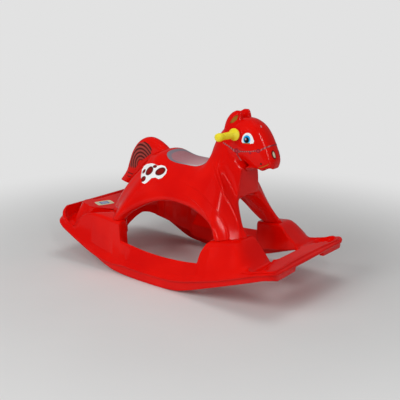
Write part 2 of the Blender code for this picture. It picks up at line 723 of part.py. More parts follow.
def grip(side, finish):
    """A push-in grip: ridged handle, flange and the spigot that meets its partner."""
    profile = [(0.0, GRIP_END_Y), (GRIP_KNOB_RADIUS * 0.62, GRIP_END_Y - 0.0005),
               (GRIP_KNOB_RADIUS * 0.9, GRIP_END_Y - 0.003), (GRIP_KNOB_RADIUS, GRIP_END_Y - 0.008),
               (GRIP_KNOB_RADIUS * 0.94, GRIP_END_Y - 0.013), (GRIP_RADIUS, GRIP_END_Y - 0.017)]
    face = BOSS_FACE_Y + GAP
    flange_top = face + GRIP_FLANGE_THICKNESS
    length = GRIP_END_Y - 0.017 - flange_top - 0.006
    for rib in range(GRIP_RIBS):
        start = GRIP_END_Y - 0.018 - length * rib / GRIP_RIBS
        for radius, share in ((GRIP_RADIUS, 0.1), (GRIP_RADIUS - 0.0009, 0.3),
                              (GRIP_RADIUS - 0.0009, 0.5), (GRIP_RADIUS, 0.7)):
            profile.append((radius, start - length / GRIP_RIBS * share))
    profile += [(GRIP_RADIUS + 0.002, flange_top + 0.002), (GRIP_FLANGE_RADIUS - 0.002, flange_top),
                (GRIP_FLANGE_RADIUS, flange_top - 0.002), (GRIP_FLANGE_RADIUS, face),
                (SPIGOT_RADIUS, face)]
    if side > 0:
        # Spigot with a pin
        profile += [(SPIGOT_RADIUS, SPIGOT_END_Y), (PIN_RADIUS, SPIGOT_END_Y),
                    (PIN_RADIUS, PIN_END_Y + 0.001), (PIN_RADIUS - 0.001, PIN_END_Y),
                    (0.0, PIN_END_Y)]
    else:
        # Spigot with a socket for the pin
        depth = -PIN_END_Y + 0.002
        profile += [(SPIGOT_RADIUS, -SPIGOT_END_Y + GAP), (PIN_RADIUS + GAP, -SPIGOT_END_Y + GAP),
                    (PIN_RADIUS + GAP, depth), (0.0, depth)]
    sides = GRIP_SIDES
    points = []
    loops = []
    for radius, y in profile:
        reach = max(y - flange_top, 0.0)
        x = GRIP_X - GRIP_SWEEP * reach
        z = GRIP_Z - GRIP_DROOP * reach
        if radius == 0.0:
            loops.append([len(points)])
            points.append((x, side * y, z))
            continue
        loops.append(list(range(len(points), len(points) + sides)))
        for i in range(sides):
            turn = 2 * math.pi * i / sides
            points.append((x + radius * math.cos(turn), side * y, z + radius * math.sin(turn)))
    faces = []
    for first, second in zip(loops, loops[1:]):
        for i in range(sides):
            k = (i + 1) % sides
            if len(first) == 1:
                faces.append((first[0], second[k], second[i]))
            elif len(second) == 1:
                faces.append((first[i], first[k], second[0]))
            else:
                faces.append((first[i], first[k], second[k], second[i]))
    name = "handle_left" if side > 0 else "handle_right"
    mesh = mesh_from(name, points, faces)
    shape = bmesh.new()
    shape.from_mesh(mesh)
    bmesh.ops.recalc_face_normals(shape, faces=shape.faces)
    shape.to_mesh(mesh)
    shape.free()
    return add_object(name, mesh, finish)


def pad_frame(place):
    """The frame of a foot pad at a screw: the centre on the pad and its upward normal."""
    x, y = place
    slope = FRONT_PAD_SLOPE if x > 0 else REAR_PAD_SLOPE
    height = front_pad(x) if x > 0 else rear_pad(x)
    upward = Vector((-slope, 0.0, 1.0)).normalized()
    turn = Vector((0, 0, 1)).rotation_difference(upward).to_matrix().to_4x4()
    return Matrix.Translation((x, y, height)) @ turn


def turned(name, profile, place, finish, sides=20, closed=False):
    """A solid of revolution about the pad's normal. The profile holds (radius, height)."""
    points = []
    loops = []
    for radius, height in profile:
        if radius == 0.0:
            loops.append([len(points)])
            points.append((0.0, 0.0, height))
            continue
        loops.append(list(range(len(points), len(points) + sides)))
        for i in range(sides):
            turn = 2 * math.pi * i / sides
            points.append((radius * math.cos(turn), radius * math.sin(turn), height))
    faces = []
    pairs = list(zip(loops, loops[1:]))
    if closed:
        pairs.append((loops[-1], loops[0]))
    for first, second in pairs:
        for i in range(sides):
            k = (i + 1) % sides
            if len(first) == 1:
                faces.append((first[0], second[i], second[k]))
            elif len(second) == 1:
                faces.append((first[k], first[i], second[0]))
            else:
                faces.append((first[i], second[i], second[k], first[k]))
    mesh = mesh_from(name, points, faces)
    mesh.transform(pad_frame(place))
    shape = bmesh.new()
    shape.from_mesh(mesh)
    bmesh.ops.recalc_face_normals(shape, faces=shape.faces)
    shape.to_mesh(mesh)
    shape.free()
    return add_object(name, mesh, finish)


def fastener_hole(place, finish):
    radius = SCREW_RADIUS + SCREW_CLEARANCE
    return turned("hole", [(0.0, -0.020), (radius, -0.020), (radius, 0.020), (0.0, 0.020)],
                  place, finish)


def fasteners(index, place, finish):
    under = -BASE_WALL - GAP
    seat = under - WASHER_THICKNESS
    washer = turned("washer_" + index, [
        (SCREW_RADIUS + GAP, seat), (WASHER_RADIUS, seat), (WASHER_RADIUS, under),
        (SCREW_RADIUS + GAP, under)], place, finish, closed=True)
    head = seat - GAP
    screw = turned("leg_screw_" + index, [
        (0.0, head - SCREW_HEAD_HEIGHT * 0.5), (SCREW_HEAD_RADIUS * 0.42, head - SCREW_HEAD_HEIGHT * 0.5),
        (SCREW_HEAD_RADIUS * 0.42, head - SCREW_HEAD_HEIGHT),
        (SCREW_HEAD_RADIUS * 0.7, head - SCREW_HEAD_HEIGHT),
        (SCREW_HEAD_RADIUS, head - SCREW_HEAD_HEIGHT * 0.55), (SCREW_HEAD_RADIUS, head),
        (SCREW_RADIUS, head), (SCREW_RADIUS, head + SCREW_LENGTH - 0.002),
        (SCREW_RADIUS * 0.4, head + SCREW_LENGTH), (0.0, head + SCREW_LENGTH)], place, finish)
    return washer, screw


def drilled_base(finish):
    base = rocker_base(finish)
    cutters = [fastener_hole(place, finish) for place in SCREW_PLACES]
    for cutter in cutters:
        boolean(base, as_cutter(cutter), "DIFFERENCE")
    mesh = baked(base)
    base.modifiers.clear()
    base.data = mesh
    for cutter in cutters:
        bpy.data.objects.remove(cutter, do_unlink=True)
    mesh.shade_smooth()
    mesh.set_sharp_from_angle(angle=math.radians(35))
    return base


# Decal outlines on the right side, as (x, z) seen from the side
EYE_OUTLINE = ((0.2202, 0.4443), (0.2175, 0.4570), (0.2208, 0.4678), (0.2279, 0.4741),
               (0.2370, 0.4758), (0.2452, 0.4720), (0.2521, 0.4629), (0.2552, 0.4478))
PATCH_OUTLINE = ((-0.131, 0.307), (-0.1425, 0.319), (-0.1405, 0.330), (-0.1286, 0.338),
                 (-0.111, 0.343), (-0.092, 0.3445), (-0.078, 0.341), (-0.065, 0.344),
                 (-0.051, 0.342), (-0.038, 0.334), (-0.035, 0.324), (-0.043, 0.311),
                 (-0.054, 0.306), (-0.067, 0.309), (-0.080, 0.306), (-0.090, 0.292),
                 (-0.098, 0.287), (-0.109, 0.2895))
EAR_OUTLINE = ((0.192, 0.522), (0.183, 0.520), (0.173, 0.5085), (0.165, 0.494), (0.181, 0.500),
               (0.189, 0.508))
TAIL_OUTLINE = ((-0.161, 0.374), (-0.172, 0.387), (-0.195, 0.3925), (-0.223, 0.384),
                (-0.242, 0.363), (-0.258, 0.333), (-0.270, 0.296), (-0.280, 0.271),
                (-0.293, 0.254), (-0.268, 0.259), (-0.250, 0.280), (-0.237, 0.3015),
                (-0.222, 0.317), (-0.204, 0.332), (-0.183, 0.346), (-0.166, 0.357))
NOSTRIL_OUTLINE = ((0.3035, -0.0155, 0.4260), (0.3070, -0.0075, 0.4240), (0.3105, -0.0050, 0.4130),
                   (0.3110, -0.0095, 0.4050), (0.3075, -0.0160, 0.4085), (0.3040, -0.0175, 0.4180))
# Decal bands as (x, y, z, half width)
BRIDLE_PATH = ((0.152, -0.048, 0.4384, 0.0018), (0.163, -0.050, 0.4340, 0.0018),
               (0.174, -0.050, 0.4300, 0.0018), (0.186, -0.048, 0.4230, 0.0020),
               (0.1925, -0.047, 0.4205, 0.0050), (0.199, -0.046, 0.4190, 0.0066),
               (0.2055, -0.046, 0.4190, 0.0050), (0.212, -0.046, 0.4195, 0.0020),
               (0.229, -0.0465, 0.4208, 0.0018), (0.247, -0.0455, 0.4235, 0.0018),
               (0.2625, -0.0430, 0.4260, 0.0020), (0.268, -0.0415, 0.4267, 0.0040),
               (0.273, -0.0395, 0.4272, 0.0040), (0.278, -0.0370, 0.4300, 0.0020),
               (0.288, -0.0280, 0.4376, 0.0018), (0.294, -0.0160, 0.4405, 0.0018),
               (0.2965, -0.0010, 0.4410, 0.0018))
STRAP_PATH = ((0.1985, -0.045, 0.4110, 0.0018), (0.2005, -0.042, 0.4045, 0.0018),
              (0.2030, -0.038, 0.3970, 0.0018), (0.2055, -0.032, 0.3880, 0.0018))
MOUTH_PATH = ((0.2697, -0.0352, 0.3773, 0.0008), (0.2783, -0.0350, 0.3788, 0.0016),
              (0.2878, -0.0339, 0.3827, 0.0016), (0.2963, -0.0312, 0.3873, 0.0014),
              (0.3020, -0.0280, 0.3922, 0.0006))
MOUTH_DOT = (0.2795, -0.0372, 0.3895)
MOUTH_DOT_RADIUS = 0.0032
FOREHEAD_DOT = (0.2601, -0.0126, 0.4932)
FOREHEAD_DOT_RADIUS = 0.0032
HEAD_AXIS_X = 0.235
SADDLE_CENTRE = (0.006, 0.0)
SADDLE_HALF_SIZE = (0.080, 0.058)
SADDLE_CORNER_POWER = 0.55
LABEL_CENTRE = (-0.302, -0.105)
LABEL_HALF_SIZE = (0.031, 0.017)
LABEL_TURN = 1.32


def sideways(point):
    return Vector((0.0, -1.0, 0.0))


def upwards(point):
    return Vector((0.0, 0.0, 1.0))


def from_head_axis(point):
    return Vector((point.x - HEAD_AXIS_X, point.y, 0.0)).normalized()


def skin_tree(thing):
    mesh = thing.data
    return BVHTree.FromPolygons([v.co for v in mesh.vertices],
                                [p.vertices for p in mesh.polygons])


def smooth_loop(points, parts):
    """A closed curve through the points with each span cut into equal parts."""
    count = len(points)
    result = []
    for i in range(count):
        a, b, c, d = (Vector(points[(i + k) % count]) for k in (-1, 0, 1, 2))
        for step in range(parts):
            t = step / parts
            result.append((b * 2 + (c - a) * t + (a * 2 - b * 5 + c * 4 - d) * t * t
                           + (b * 3 - a - c * 3 + d) * t ** 3) / 2)
    return result


def patch_grid(outline, rings):
    """Points and triangles of a patch: its centre and growing copies of the outline."""
    count = len(outline)
    centre = sum(outline, Vector((0.0, 0.0, 0.0))) / count
    points = [centre]
    triangles = [(0, 1 + j, 1 + (j + 1) % count) for j in range(count)]
    for ring in range(1, rings + 1):
        points += [centre.lerp(p, ring / rings) for p in outline]
        if ring > 1:
            inner = 1 + (ring - 2) * count
            outer = inner + count
            for j in range(count):
                k = (j + 1) % count
                triangles.append((inner + j, outer + j, outer + k))
                triangles.append((inner + j, outer + k, inner + k))
    return points, triangles


def band_grid(path, outward):
    """Points and triangles of a band along a path, two points across."""
    points = []
    for i, (x, y, z, half) in enumerate(path):
        before = Vector(path[max(i - 1, 0)][:3])
        after = Vector(path[min(i + 1, len(path) - 1)][:3])
        centre = Vector((x, y, z))
        across = outward(centre).cross(after - before).normalized() * half
        points += [centre - across, centre + across]
    triangles = []
    for i in range(0, len(points) - 2, 2):
        triangles += [(i, i + 2, i + 3), (i, i + 3, i + 1)]
    return points, triangles


def cleared(points, normals, aims, triangles, tree):
    """Lifts each point until every triangle keeps its distance from the skin."""
    lift = [GAP] * len(points)
    shares = [(i / 8, j / 8) for i in range(9) for j in range(9 - i)]
    for _ in range(4):
        placed = [p + n * h for p, n, h in zip(points, normals, lift)]
        more = [0.0] * len(points)
        for triangle in triangles:
            a, b, c = (placed[i] for i in triangle)
            aim = aims[triangle[0]]
            for s, t in shares:
                spot = a + (b - a) * s + (c - a) * t
                below, normal, _, _ = tree.ray_cast(spot + aim * 0.15, -aim)
                if below is None:
                    continue
                short = GAP - (spot - below).dot(normal)
                for i in triangle:
                    more[i] = max(more[i], short)
        lift = [h + m for h, m in zip(lift, more)]
    return lift


def film(name, grid, outward, side, tree, finish):
    """A thin decal laid on the skin: each point lands along its outward direction."""
    points, triangles = grid
    landed, normals, aims = [], [], []
    for point in points:
        aim = outward(point)
        start = point + aim * 0.15
        if side > 0:
            start.y, aim.y = -start.y, -aim.y
        spot, normal, _, _ = tree.ray_cast(start, -aim)
        landed.append(spot)
        normals.append(normal)
        aims.append(aim)
    lift = cleared(landed, normals, aims, triangles, tree)
    count = len(points)
    solid = [p + n * h for p, n, h in zip(landed, normals, lift)]
    solid += [p + n * (h + FILM_THICKNESS) for p, n, h in zip(landed, normals, lift)]
    edges = {(t[k], t[(k + 1) % 3]) for t in triangles for k in range(3)}
    faces = [t[::-1] for t in triangles] + [tuple(i + count for i in t) for t in triangles]
    faces += [(a, b, b + count, a + count) for a, b in edges if (b, a) not in edges]
    mesh = mesh_from(name, solid, faces)
    shape = bmesh.new()
    shape.from_mesh(mesh)
    bmesh.ops.recalc_face_normals(shape, faces=shape.faces)
    shape.to_mesh(mesh)
    shape.free()
    return add_object(name, mesh, finish)


def side_outline(outline, parts):
    return smooth_loop([(x, -0.05, z) for x, z in outline], parts)


def dot_outline(centre, radius, count):
    x, y, z = centre
    return [Vector((x + radius * math.cos(2 * math.pi * i / count), y,
                    z + radius * math.sin(2 * math.pi * i / count))) for i in range(count)]


def rounded_rectangle(centre, half_size, power, turn, count):
    points = []
    for i in range(count):
        angle = 2 * math.pi * (i + 0.5) / count
        x = half_size[0] * math.copysign(abs(math.cos(angle)) ** power, math.cos(angle))
        y = half_size[1] * math.copysign(abs(math.sin(angle)) ** power, math.sin(angle))
        points.append(Vector((centre[0] + x * math.cos(turn) - y * math.sin(turn),
                              centre[1] + x * math.sin(turn) + y * math.cos(turn), 0.4)))
    return points


def decals(body, base):
    tree = skin_tree(body)
    white = material("white_film", WHITE, 0.4)
    mauve = material("mauve_film", MAUVE, 0.4)
    brown = material("brown_film", BROWN, 0.4)
    ochre = material("ochre_film", OCHRE, 0.4)
    made = []
    for side, end in ((-1, "right"), (1, "left")):
        for name, grid, outward, finish in (
                ("eye_film", patch_grid(side_outline(EYE_OUTLINE, 2), 1), sideways, white),
                ("haunch_patch", patch_grid(side_outline(PATCH_OUTLINE, 1), 2), sideways, white),
                ("ear_film", patch_grid(side_outline(EAR_OUTLINE, 1), 1), sideways, ochre),
                ("tail_film", patch_grid(side_outline(TAIL_OUTLINE, 1), 2), sideways, brown),
                ("bridle_film", band_grid(BRIDLE_PATH, from_head_axis), from_head_axis, mauve),
                ("strap_film", band_grid(STRAP_PATH, sideways), sideways, mauve),
                ("mouth_film", band_grid(MOUTH_PATH, from_head_axis), from_head_axis, ochre),
                ("cheek_dot", patch_grid(dot_outline(MOUTH_DOT, MOUTH_DOT_RADIUS, 8), 1),
                 sideways, brown),
                ("nostril_film", patch_grid(smooth_loop(NOSTRIL_OUTLINE, 1), 1),
                 from_head_axis, white)):
            made.append(film(name + "_" + end, grid, outward, side, tree, finish))
    saddle = rounded_rectangle(SADDLE_CENTRE, SADDLE_HALF_SIZE, SADDLE_CORNER_POWER, 0.0, 24)
    made.append(film("saddle_film", patch_grid(saddle, 3), upwards, -1, tree, mauve))
    made.append(film("forehead_dot", patch_grid(
        dot_outline(FOREHEAD_DOT, FOREHEAD_DOT_RADIUS, 8), 1), from_head_axis, -1, tree, white))
    for thing in made:
        thing.parent = body
    label = rounded_rectangle(LABEL_CENTRE, LABEL_HALF_SIZE, 0.3, LABEL_TURN, 12)
    film("rear_label", patch_grid(label, 1), upwards, -1, skin_tree(base), white).parent = base


def main():
    clear_scene()
    red = material("red_plastic", RED, 0.22)
    yellow = material("yellow_plastic", YELLOW, 0.35)
    steel = material("zinc_steel", STEEL, 0.35, 1.0)
    base = drilled_base(red)
    body = horse_body(red)
    body.parent = base
    for side in (-1, 1):
        grip(side, yellow).parent = body
    for index, place in zip(("fr", "fl", "rr", "rl"), SCREW_PLACES):
        for piece in fasteners(index, place, steel):
            piece.parent = base
    decals(body, base)
    centring = -(REAR_END + FRONT_END) / 2
    for thing in bpy.data.objects:
        thing.data.transform(Matrix.Translation((centring, 0.0, 0.0)))


main()
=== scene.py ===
"""Looks of the moulded rocking horse: fine mouldings, printed films, plastic, floor and light."""

import math

import bmesh
import bpy
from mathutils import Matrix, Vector
from mathutils.bvhtree import BVHTree

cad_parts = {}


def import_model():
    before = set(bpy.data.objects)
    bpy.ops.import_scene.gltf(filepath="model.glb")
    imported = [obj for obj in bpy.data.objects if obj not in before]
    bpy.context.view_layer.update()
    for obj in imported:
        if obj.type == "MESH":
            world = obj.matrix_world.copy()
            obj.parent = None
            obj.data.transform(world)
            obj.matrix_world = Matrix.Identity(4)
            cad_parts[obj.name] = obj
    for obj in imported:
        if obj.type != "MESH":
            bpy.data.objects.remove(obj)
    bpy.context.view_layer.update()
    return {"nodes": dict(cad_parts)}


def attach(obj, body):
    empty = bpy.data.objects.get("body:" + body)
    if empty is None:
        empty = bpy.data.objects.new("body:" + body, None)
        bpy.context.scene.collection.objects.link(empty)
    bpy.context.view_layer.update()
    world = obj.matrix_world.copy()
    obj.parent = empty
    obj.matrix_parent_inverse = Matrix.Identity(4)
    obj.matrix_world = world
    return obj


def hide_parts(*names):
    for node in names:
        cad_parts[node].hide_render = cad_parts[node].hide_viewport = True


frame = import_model()
nodes = frame["nodes"]

# Ends of the base in the frame in which the horse is drawn. The part is centred on its length.
REAR_END, FRONT_END = -0.444, 0.437
SHIFT = -(REAR_END + FRONT_END) / 2

BEVEL_SAMPLES = 6


class Shade:
    """Builds a node material by chaining small steps."""

    def __init__(self, name, specular=0.5, metallic=0.0):
        self.material = bpy.data.materials.new(name)
        self.material.use_nodes = True
        self.tree = self.material.node_tree
        self.shader = self.tree.nodes["Principled BSDF"]
        self.put(self.shader.inputs["Specular IOR Level"], specular)
        self.put(self.shader.inputs["Metallic"], metallic)
        self.where = self.node("TexCoord").outputs["Object"]
        self.x, self.y, self.z = self.node("SeparateXYZ", Vector=self.where).outputs
        self.height = self.edge_normal = None

    def node(self, kind, *values, **fields):
        """A new node with values or sockets for its first and its named inputs."""
        made = self.tree.nodes.new("ShaderNode" + kind)
        for socket, value in zip(made.inputs, values):
            self.put(socket, value)
        for field, value in fields.items():
            self.put(made.inputs[field], value)
        return made

    def put(self, socket, value):
        """Links a socket's value or sets a plain one."""
        if isinstance(value, bpy.types.NodeSocket):
            self.tree.links.new(value, socket)
        else:
            socket.default_value = value

    def math(self, operation, a, b=0.0):
        node = self.node("Math", a, b)
        node.operation = operation
        return node.outputs[0]

    def add(self, a, b):
        return self.math("ADD", a, b)

    def less(self, a, b):
        return self.math("SUBTRACT", a, b)

    def times(self, a, b):
        return self.math("MULTIPLY", a, b)

    def size(self, a):
        return self.math("ABSOLUTE", a)

    def step(self, value, start, stop):
        """0 below start and 1 above stop."""
        node = self.node("MapRange", value, start, stop)
        node.interpolation_type = "SMOOTHSTEP"
        return node.outputs[0]

    def oval(self, u, v, cu, cv, ru, rv, turn=0.0):
        """Distance from an oval's centre, 1 on its edge."""
        du, dv = self.less(u, cu), self.less(v, cv)
        c, s = math.cos(turn), math.sin(turn)
        along = self.add(self.times(du, c / ru), self.times(dv, s / ru))
        across = self.add(self.times(du, -s / rv), self.times(dv, c / rv))
        return self.math("SQRT", self.add(self.times(along, along), self.times(across, across)))

    def disc(self, u, v, cu, cv, ru, rv, soft=0.12):
        """1 inside an oval with a soft edge."""
        return self.step(self.oval(u, v, cu, cv, ru, rv), 1 + soft, 1 - soft)

    def mix(self, share, first, second):
        """Between two colours, each a socket or screen values."""
        node = self.node("Mix", share)
        node.data_type = "RGBA"
        for index, colour in ((6, first), (7, second)):
            self.put(node.inputs[index], rgb(*colour) if isinstance(colour, tuple) else colour)
        return node.outputs[2]

    def noise(self, scale, detail=3.0):
        return self.node("TexNoise", Scale=scale, Detail=detail, Vector=self.where).outputs[0]

    def ridge(self, off, width):
        """A rounded ridge where the distance `off` is near zero."""
        share = self.math("DIVIDE", off, width)
        return self.math("POWER", math.e, self.times(self.times(share, share), -1.0))

    def rise(self, height):
        """Adds a height in metres to the bump."""
        self.height = self.add(self.height, height) if self.height else height

    def soft_edges(self, radius):
        """Shades the edges as if they were rounded."""
        node = self.node("Bevel", Radius=radius)
        node.samples = BEVEL_SAMPLES
        self.edge_normal = node.outputs[0]

    def finish(self, colour, rough):
        """The material with its colour, roughness and summed bump."""
        self.put(self.shader.inputs["Base Color"], colour)
        self.put(self.shader.inputs["Roughness"], rough)
        if self.height:
            bump = self.node("Bump", Strength=1.0, Distance=1.0, Height=self.height)
            if self.edge_normal:
                self.put(bump.inputs["Normal"], self.edge_normal)
            self.put(self.shader.inputs["Normal"], bump.outputs[0])
        return self.material


def rgb(red, green, blue):
    """The colour of screen values from 0 to 255."""
    shares = (red / 255, green / 255, blue / 255)
    return (*(c / 12.92 if c <= 0.04045 else ((c + 0.055) / 1.055) ** 2.4 for c in shares), 1.0)


RED = (232, 12, 2)
RED_DEEP = (222, 5, 0)
RED_SPECULAR = 0.17
BODY_EDGE = 0.003
BASE_EDGE = 0.0045
# Grain and slow waves of the moulded skin: noise scale and height
SKIN_WAVES = ((420.0, 0.00005), (30.0, 0.00008))

# Knobs of the bridle (x, z, radius) and their reach from the middle of the head
KNOBS = ((0.199, 0.419, 0.008), (0.2705, 0.427, 0.0058), (0.246, 0.4185, 0.0036))
KNOB_SIDE = 0.025
# Dark ring round the near nostril: (y, z), half widths and the x that it starts from
NOSTRIL = (-0.012, 0.416)
NOSTRIL_RING = (0.0078, 0.0125)
NOSTRIL_FROM = 0.28

# Ribs along the belly arch: ovals round one centre, with the x that each starts from
RIB_CENTRE = (0.03, 0.1)
RIBS = (((0.22, 0.21), 0.0), ((0.198, 0.18), 0.03))
RIB_HEIGHT = 0.001
# Creases down the shoulder: x as a parabola of z
NECK_CREASE = (0.268, 0.031, -1.005)
LEG_CREASE = (0.3455, -0.335, -0.68)
# The height that each crease ends at, and the slant of both in the side view
CREASE_ENDS = ((NECK_CREASE, 0.285), (LEG_CREASE, 0.15))
CREASE_SLANT = 0.86
CREASE_HEIGHT = 0.0012
LINE_WIDTH = 0.002


def red_tone(s):
    return s.mix(s.step(s.noise(9.0, 2.0), 0.35, 0.65), RED_DEEP, RED)


def knobs_and_nostril(s, colour):
    """The bridle's knobs and the near nostril's ring, painted on the body."""
    x = s.less(s.x, SHIFT)
    middle = s.step(s.size(s.y), KNOB_SIDE + 0.005, KNOB_SIDE)
    for knob_x, knob_z, radius in KNOBS:
        knob = s.add(s.oval(x, s.z, knob_x, knob_z, radius, radius), middle)
        colour = s.mix(s.step(knob, 1.1, 0.9), colour, (150, 12, 34))
        colour = s.mix(s.step(knob, 0.75, 0.45), colour, (196, 40, 62))
    ring = s.oval(s.y, s.z, *NOSTRIL, *NOSTRIL_RING)
    ring = s.add(ring, s.step(x, NOSTRIL_FROM + 0.01, NOSTRIL_FROM))
    return s.mix(s.step(ring, 1.1, 0.9), colour, (104, 14, 8))


def body_lines(s):
    """Moulded ribs round the belly arch and creases down the shoulder."""
    x = s.less(s.x, SHIFT)
    side = s.step(s.size(s.y), 0.03, 0.045)

    def line(off, keep, height):
        s.rise(s.times(s.times(s.ridge(off, LINE_WIDTH), s.times(keep, side)), height))

    for radii, start in RIBS:
        off = s.times(s.less(s.oval(x, s.z, *RIB_CENTRE, *radii), 1.0), radii[1])
        keep = s.times(s.step(x, start, start + 0.09), s.step(s.z, 0.16, 0.18))
        line(off, keep, RIB_HEIGHT)
    for (a, b, c), end in CREASE_ENDS:
        crease = s.add(a, s.add(s.times(s.z, b), s.times(s.times(s.z, s.z), c)))
        off = s.times(s.less(x, crease), CREASE_SLANT)
        keep = s.times(s.step(s.z, 0.385, 0.35), s.step(s.z, end, end + 0.03))
        line(off, keep, CREASE_HEIGHT)


def red_plastic(name, edge, body=False):
    s = Shade(name, specular=RED_SPECULAR)
    s.soft_edges(edge)
    colour = red_tone(s)
    for scale, height in SKIN_WAVES:
        s.rise(s.times(s.noise(scale, 2.0), height))
    if body:
        body_lines(s)
        colour = knobs_and_nostril(s, colour)
    return s.finish(colour, s.add(0.1, s.times(s.noise(60.0), 0.06)))


def yellow_plastic():
    s = Shade("yellow_plastic_looks", specular=0.4)
    tone = s.step(s.noise(30.0), 0.3, 0.7)
    s.rise(s.times(s.noise(500.0, 2.0), 0.00005))
    return s.finish(s.mix(tone, (236, 214, 20), (247, 230, 52)),
                    s.add(0.36, s.times(s.noise(80.0), 0.08)))


def zinc_steel():
    s = Shade("zinc_steel_looks", metallic=1.0)
    tone = s.noise(300.0)
    s.rise(s.times(s.noise(900.0), 0.00002))
    return s.finish(s.mix(tone, (150, 152, 156), (190, 192, 196)),
                    s.add(0.28, s.times(tone, 0.15)))


def film(name, colour_of):
    """A printed film: its colour comes from a function of the shade and of the drawing's x."""
    s = Shade(name, specular=0.18)
    s.rise(s.times(s.noise(350.0, 2.0), 0.00003))
    colour = colour_of(s, s.less(s.x, SHIFT))
    return s.finish(colour, s.add(0.42, s.times(s.noise(90.0), 0.06)))


# Eye: (x, z) and half widths of the iris, the pupil and its glint
IRIS = (0.233, 0.4565, 0.012, 0.0125)
PUPIL = (0.2325, 0.455, 0.0082, 0.0085)
GLINT = (0.2292, 0.4572, 0.0022, 0.003)
# Lash under the eye: x, height and slope where it starts, and the x that it ends at
LASH_X, LASH_Z, LASH_SLOPE, LASH_END = 0.222, 0.4452, 0.1, 0.246

# Spots of the haunch patch: (x, z), half widths and turn
SPOTS = ((-0.1, 0.3245, 0.0138, 0.0122, 0.35), (-0.0588, 0.3275, 0.0165, 0.0108, 0.25),
         (-0.086, 0.3385, 0.0072, 0.0042, 0.0), (-0.11, 0.3, 0.0098, 0.008, 0.2),
         (-0.126, 0.3185, 0.0075, 0.006, 0.2))

# Saddle: middle in x, half length, half width and the power of its rounded border
SADDLE_X, SADDLE_LENGTH, SADDLE_WIDTH, SADDLE_POWER = 0.006, 0.08, 0.058, 3.6

# Tail: oval (x, z), half widths and turn that the strands follow, and how many there are
TAIL_OVAL = (-0.212, 0.308, 0.064, 0.083, -0.12)
TAIL_STRANDS = 6.5
# Short marks near the tip: height and half width
TAIL_MARKS = ((0.2495, 0.0022), (0.2365, 0.0018))

EAR_OVAL = (0.181, 0.5075, 0.017, 0.0085, 0.85)
CHAIN_PITCH = 0.0075
CHAIN_KNOB = 0.0072
NOSTRIL_FILM = (0.0122, 0.416, 0.0042, 0.0092)

# Label on the rear ramp: middle (x, y), turn, and the y of its bars across it
LABEL = (-0.302, -0.105)
LABEL_TURN = math.radians(14.36)
LABEL_BARS = (-0.005, 0.0, 0.005)


def eye_colour(s, x):
    colour = s.mix(s.noise(200.0), (236, 240, 244), (250, 252, 254))
    blue = s.mix(s.step(s.z, 0.448, 0.468), (0, 196, 250), (0, 160, 236))
    colour = s.mix(s.disc(x, s.z, *IRIS), colour, blue)
    colour = s.mix(s.disc(x, s.z, *PUPIL), colour, (12, 8, 14))
    colour = s.mix(s.disc(x, s.z, *GLINT, soft=0.4), colour, (214, 170, 176))
    low = s.less(s.z, s.add(LASH_Z, s.times(s.less(x, LASH_X), LASH_SLOPE)))
    lash = s.times(s.step(low, 0.0008, 0.0), s.step(x, LASH_END, LASH_END - 0.003))
    return s.mix(lash, colour, (170, 110, 30))


def patch_colour(s, x):
    colour = s.mix(s.noise(160.0), (238, 240, 240), (250, 250, 250))
    for spot_x, spot_z, half_x, half_z, turn in SPOTS:
        spot = s.oval(x, s.z, spot_x, spot_z, half_x, half_z, turn)
        colour = s.mix(s.step(spot, 1.12, 0.92), colour, (96, 8, 8))
        colour = s.mix(s.step(spot, 0.8, 0.55), colour, (138, 14, 10))
    return colour


def saddle_colour(s, x):
    # Lighter towards the front: a painted reflection washing over the printed interior
    colour = s.mix(s.step(x, -0.06, 0.07), (168, 104, 112), (206, 152, 158))
    colour = s.mix(s.times(s.noise(120.0, 4.0), 0.35), colour, (196, 170, 176))
    along = s.math("DIVIDE", s.size(s.less(x, SADDLE_X)), SADDLE_LENGTH)
    across = s.math("DIVIDE", s.size(s.y), SADDLE_WIDTH)
    reach = s.add(s.math("POWER", along, SADDLE_POWER), s.math("POWER", across, SADDLE_POWER))
    border = s.step(reach, 0.66, 0.8)
    # Printed grey border, made lighter towards the front by the same painted reflection
    border_with_painted_reflection = s.mix(s.step(x, -0.03, 0.06), (134, 126, 136), (206, 190, 192))
    return s.mix(border, colour, border_with_painted_reflection)


def tail_colour(s, x):
    reach = s.oval(x, s.z, *TAIL_OVAL)
    waves = s.math("SINE", s.times(reach, 2 * math.pi * TAIL_STRANDS))
    strands = s.mix(s.step(waves, -0.35, 0.35), (72, 20, 20), (176, 70, 62))
    strands = s.mix(s.times(s.noise(150.0), 0.3), strands, (130, 40, 36))
    shown = s.times(s.step(s.z, 0.292, 0.304), s.step(reach, 0.22, 0.3))
    colour = s.mix(shown, red_tone(s), strands)
    slope = s.add(s.z, s.times(x, 0.1))
    for height, half in TAIL_MARKS:
        mark = s.step(s.size(s.less(slope, height)), half * 1.4, half * 0.6)
        colour = s.mix(s.times(mark, s.step(x, -0.283, -0.278)), colour, (120, 16, 14))
    return colour


def ear_colour(s, x):
    return s.mix(s.step(s.oval(x, s.z, *EAR_OVAL), 0.55, 1.05), (158, 104, 30), (150, 52, 14))


def bridle_colour(s, x):
    links = s.math("SINE", s.times(x, 2 * math.pi / CHAIN_PITCH))
    chain = s.mix(s.step(links, -0.5, 0.5), (150, 44, 50), (190, 108, 110))
    for knob_x, knob_z, _ in KNOBS[:2]:
        knob = s.oval(x, s.z, knob_x, knob_z, CHAIN_KNOB, CHAIN_KNOB)
        chain = s.mix(s.step(knob, 1.0, 0.85), chain, (168, 24, 44))
        chain = s.mix(s.step(knob, 0.5, 0.3), chain, (196, 60, 72))
    return chain


def plain(dark, light):
    """A plain colour with a little grain."""
    return lambda s, x: s.mix(s.noise(240.0), dark, light)


def cream_colour(s, x):
    edge = s.oval(s.size(s.y), s.z, *NOSTRIL_FILM)
    cream = s.mix(s.noise(260.0), (214, 196, 160), (232, 220, 190))
    return s.mix(s.step(edge, 0.75, 1.15), cream, (92, 40, 30))


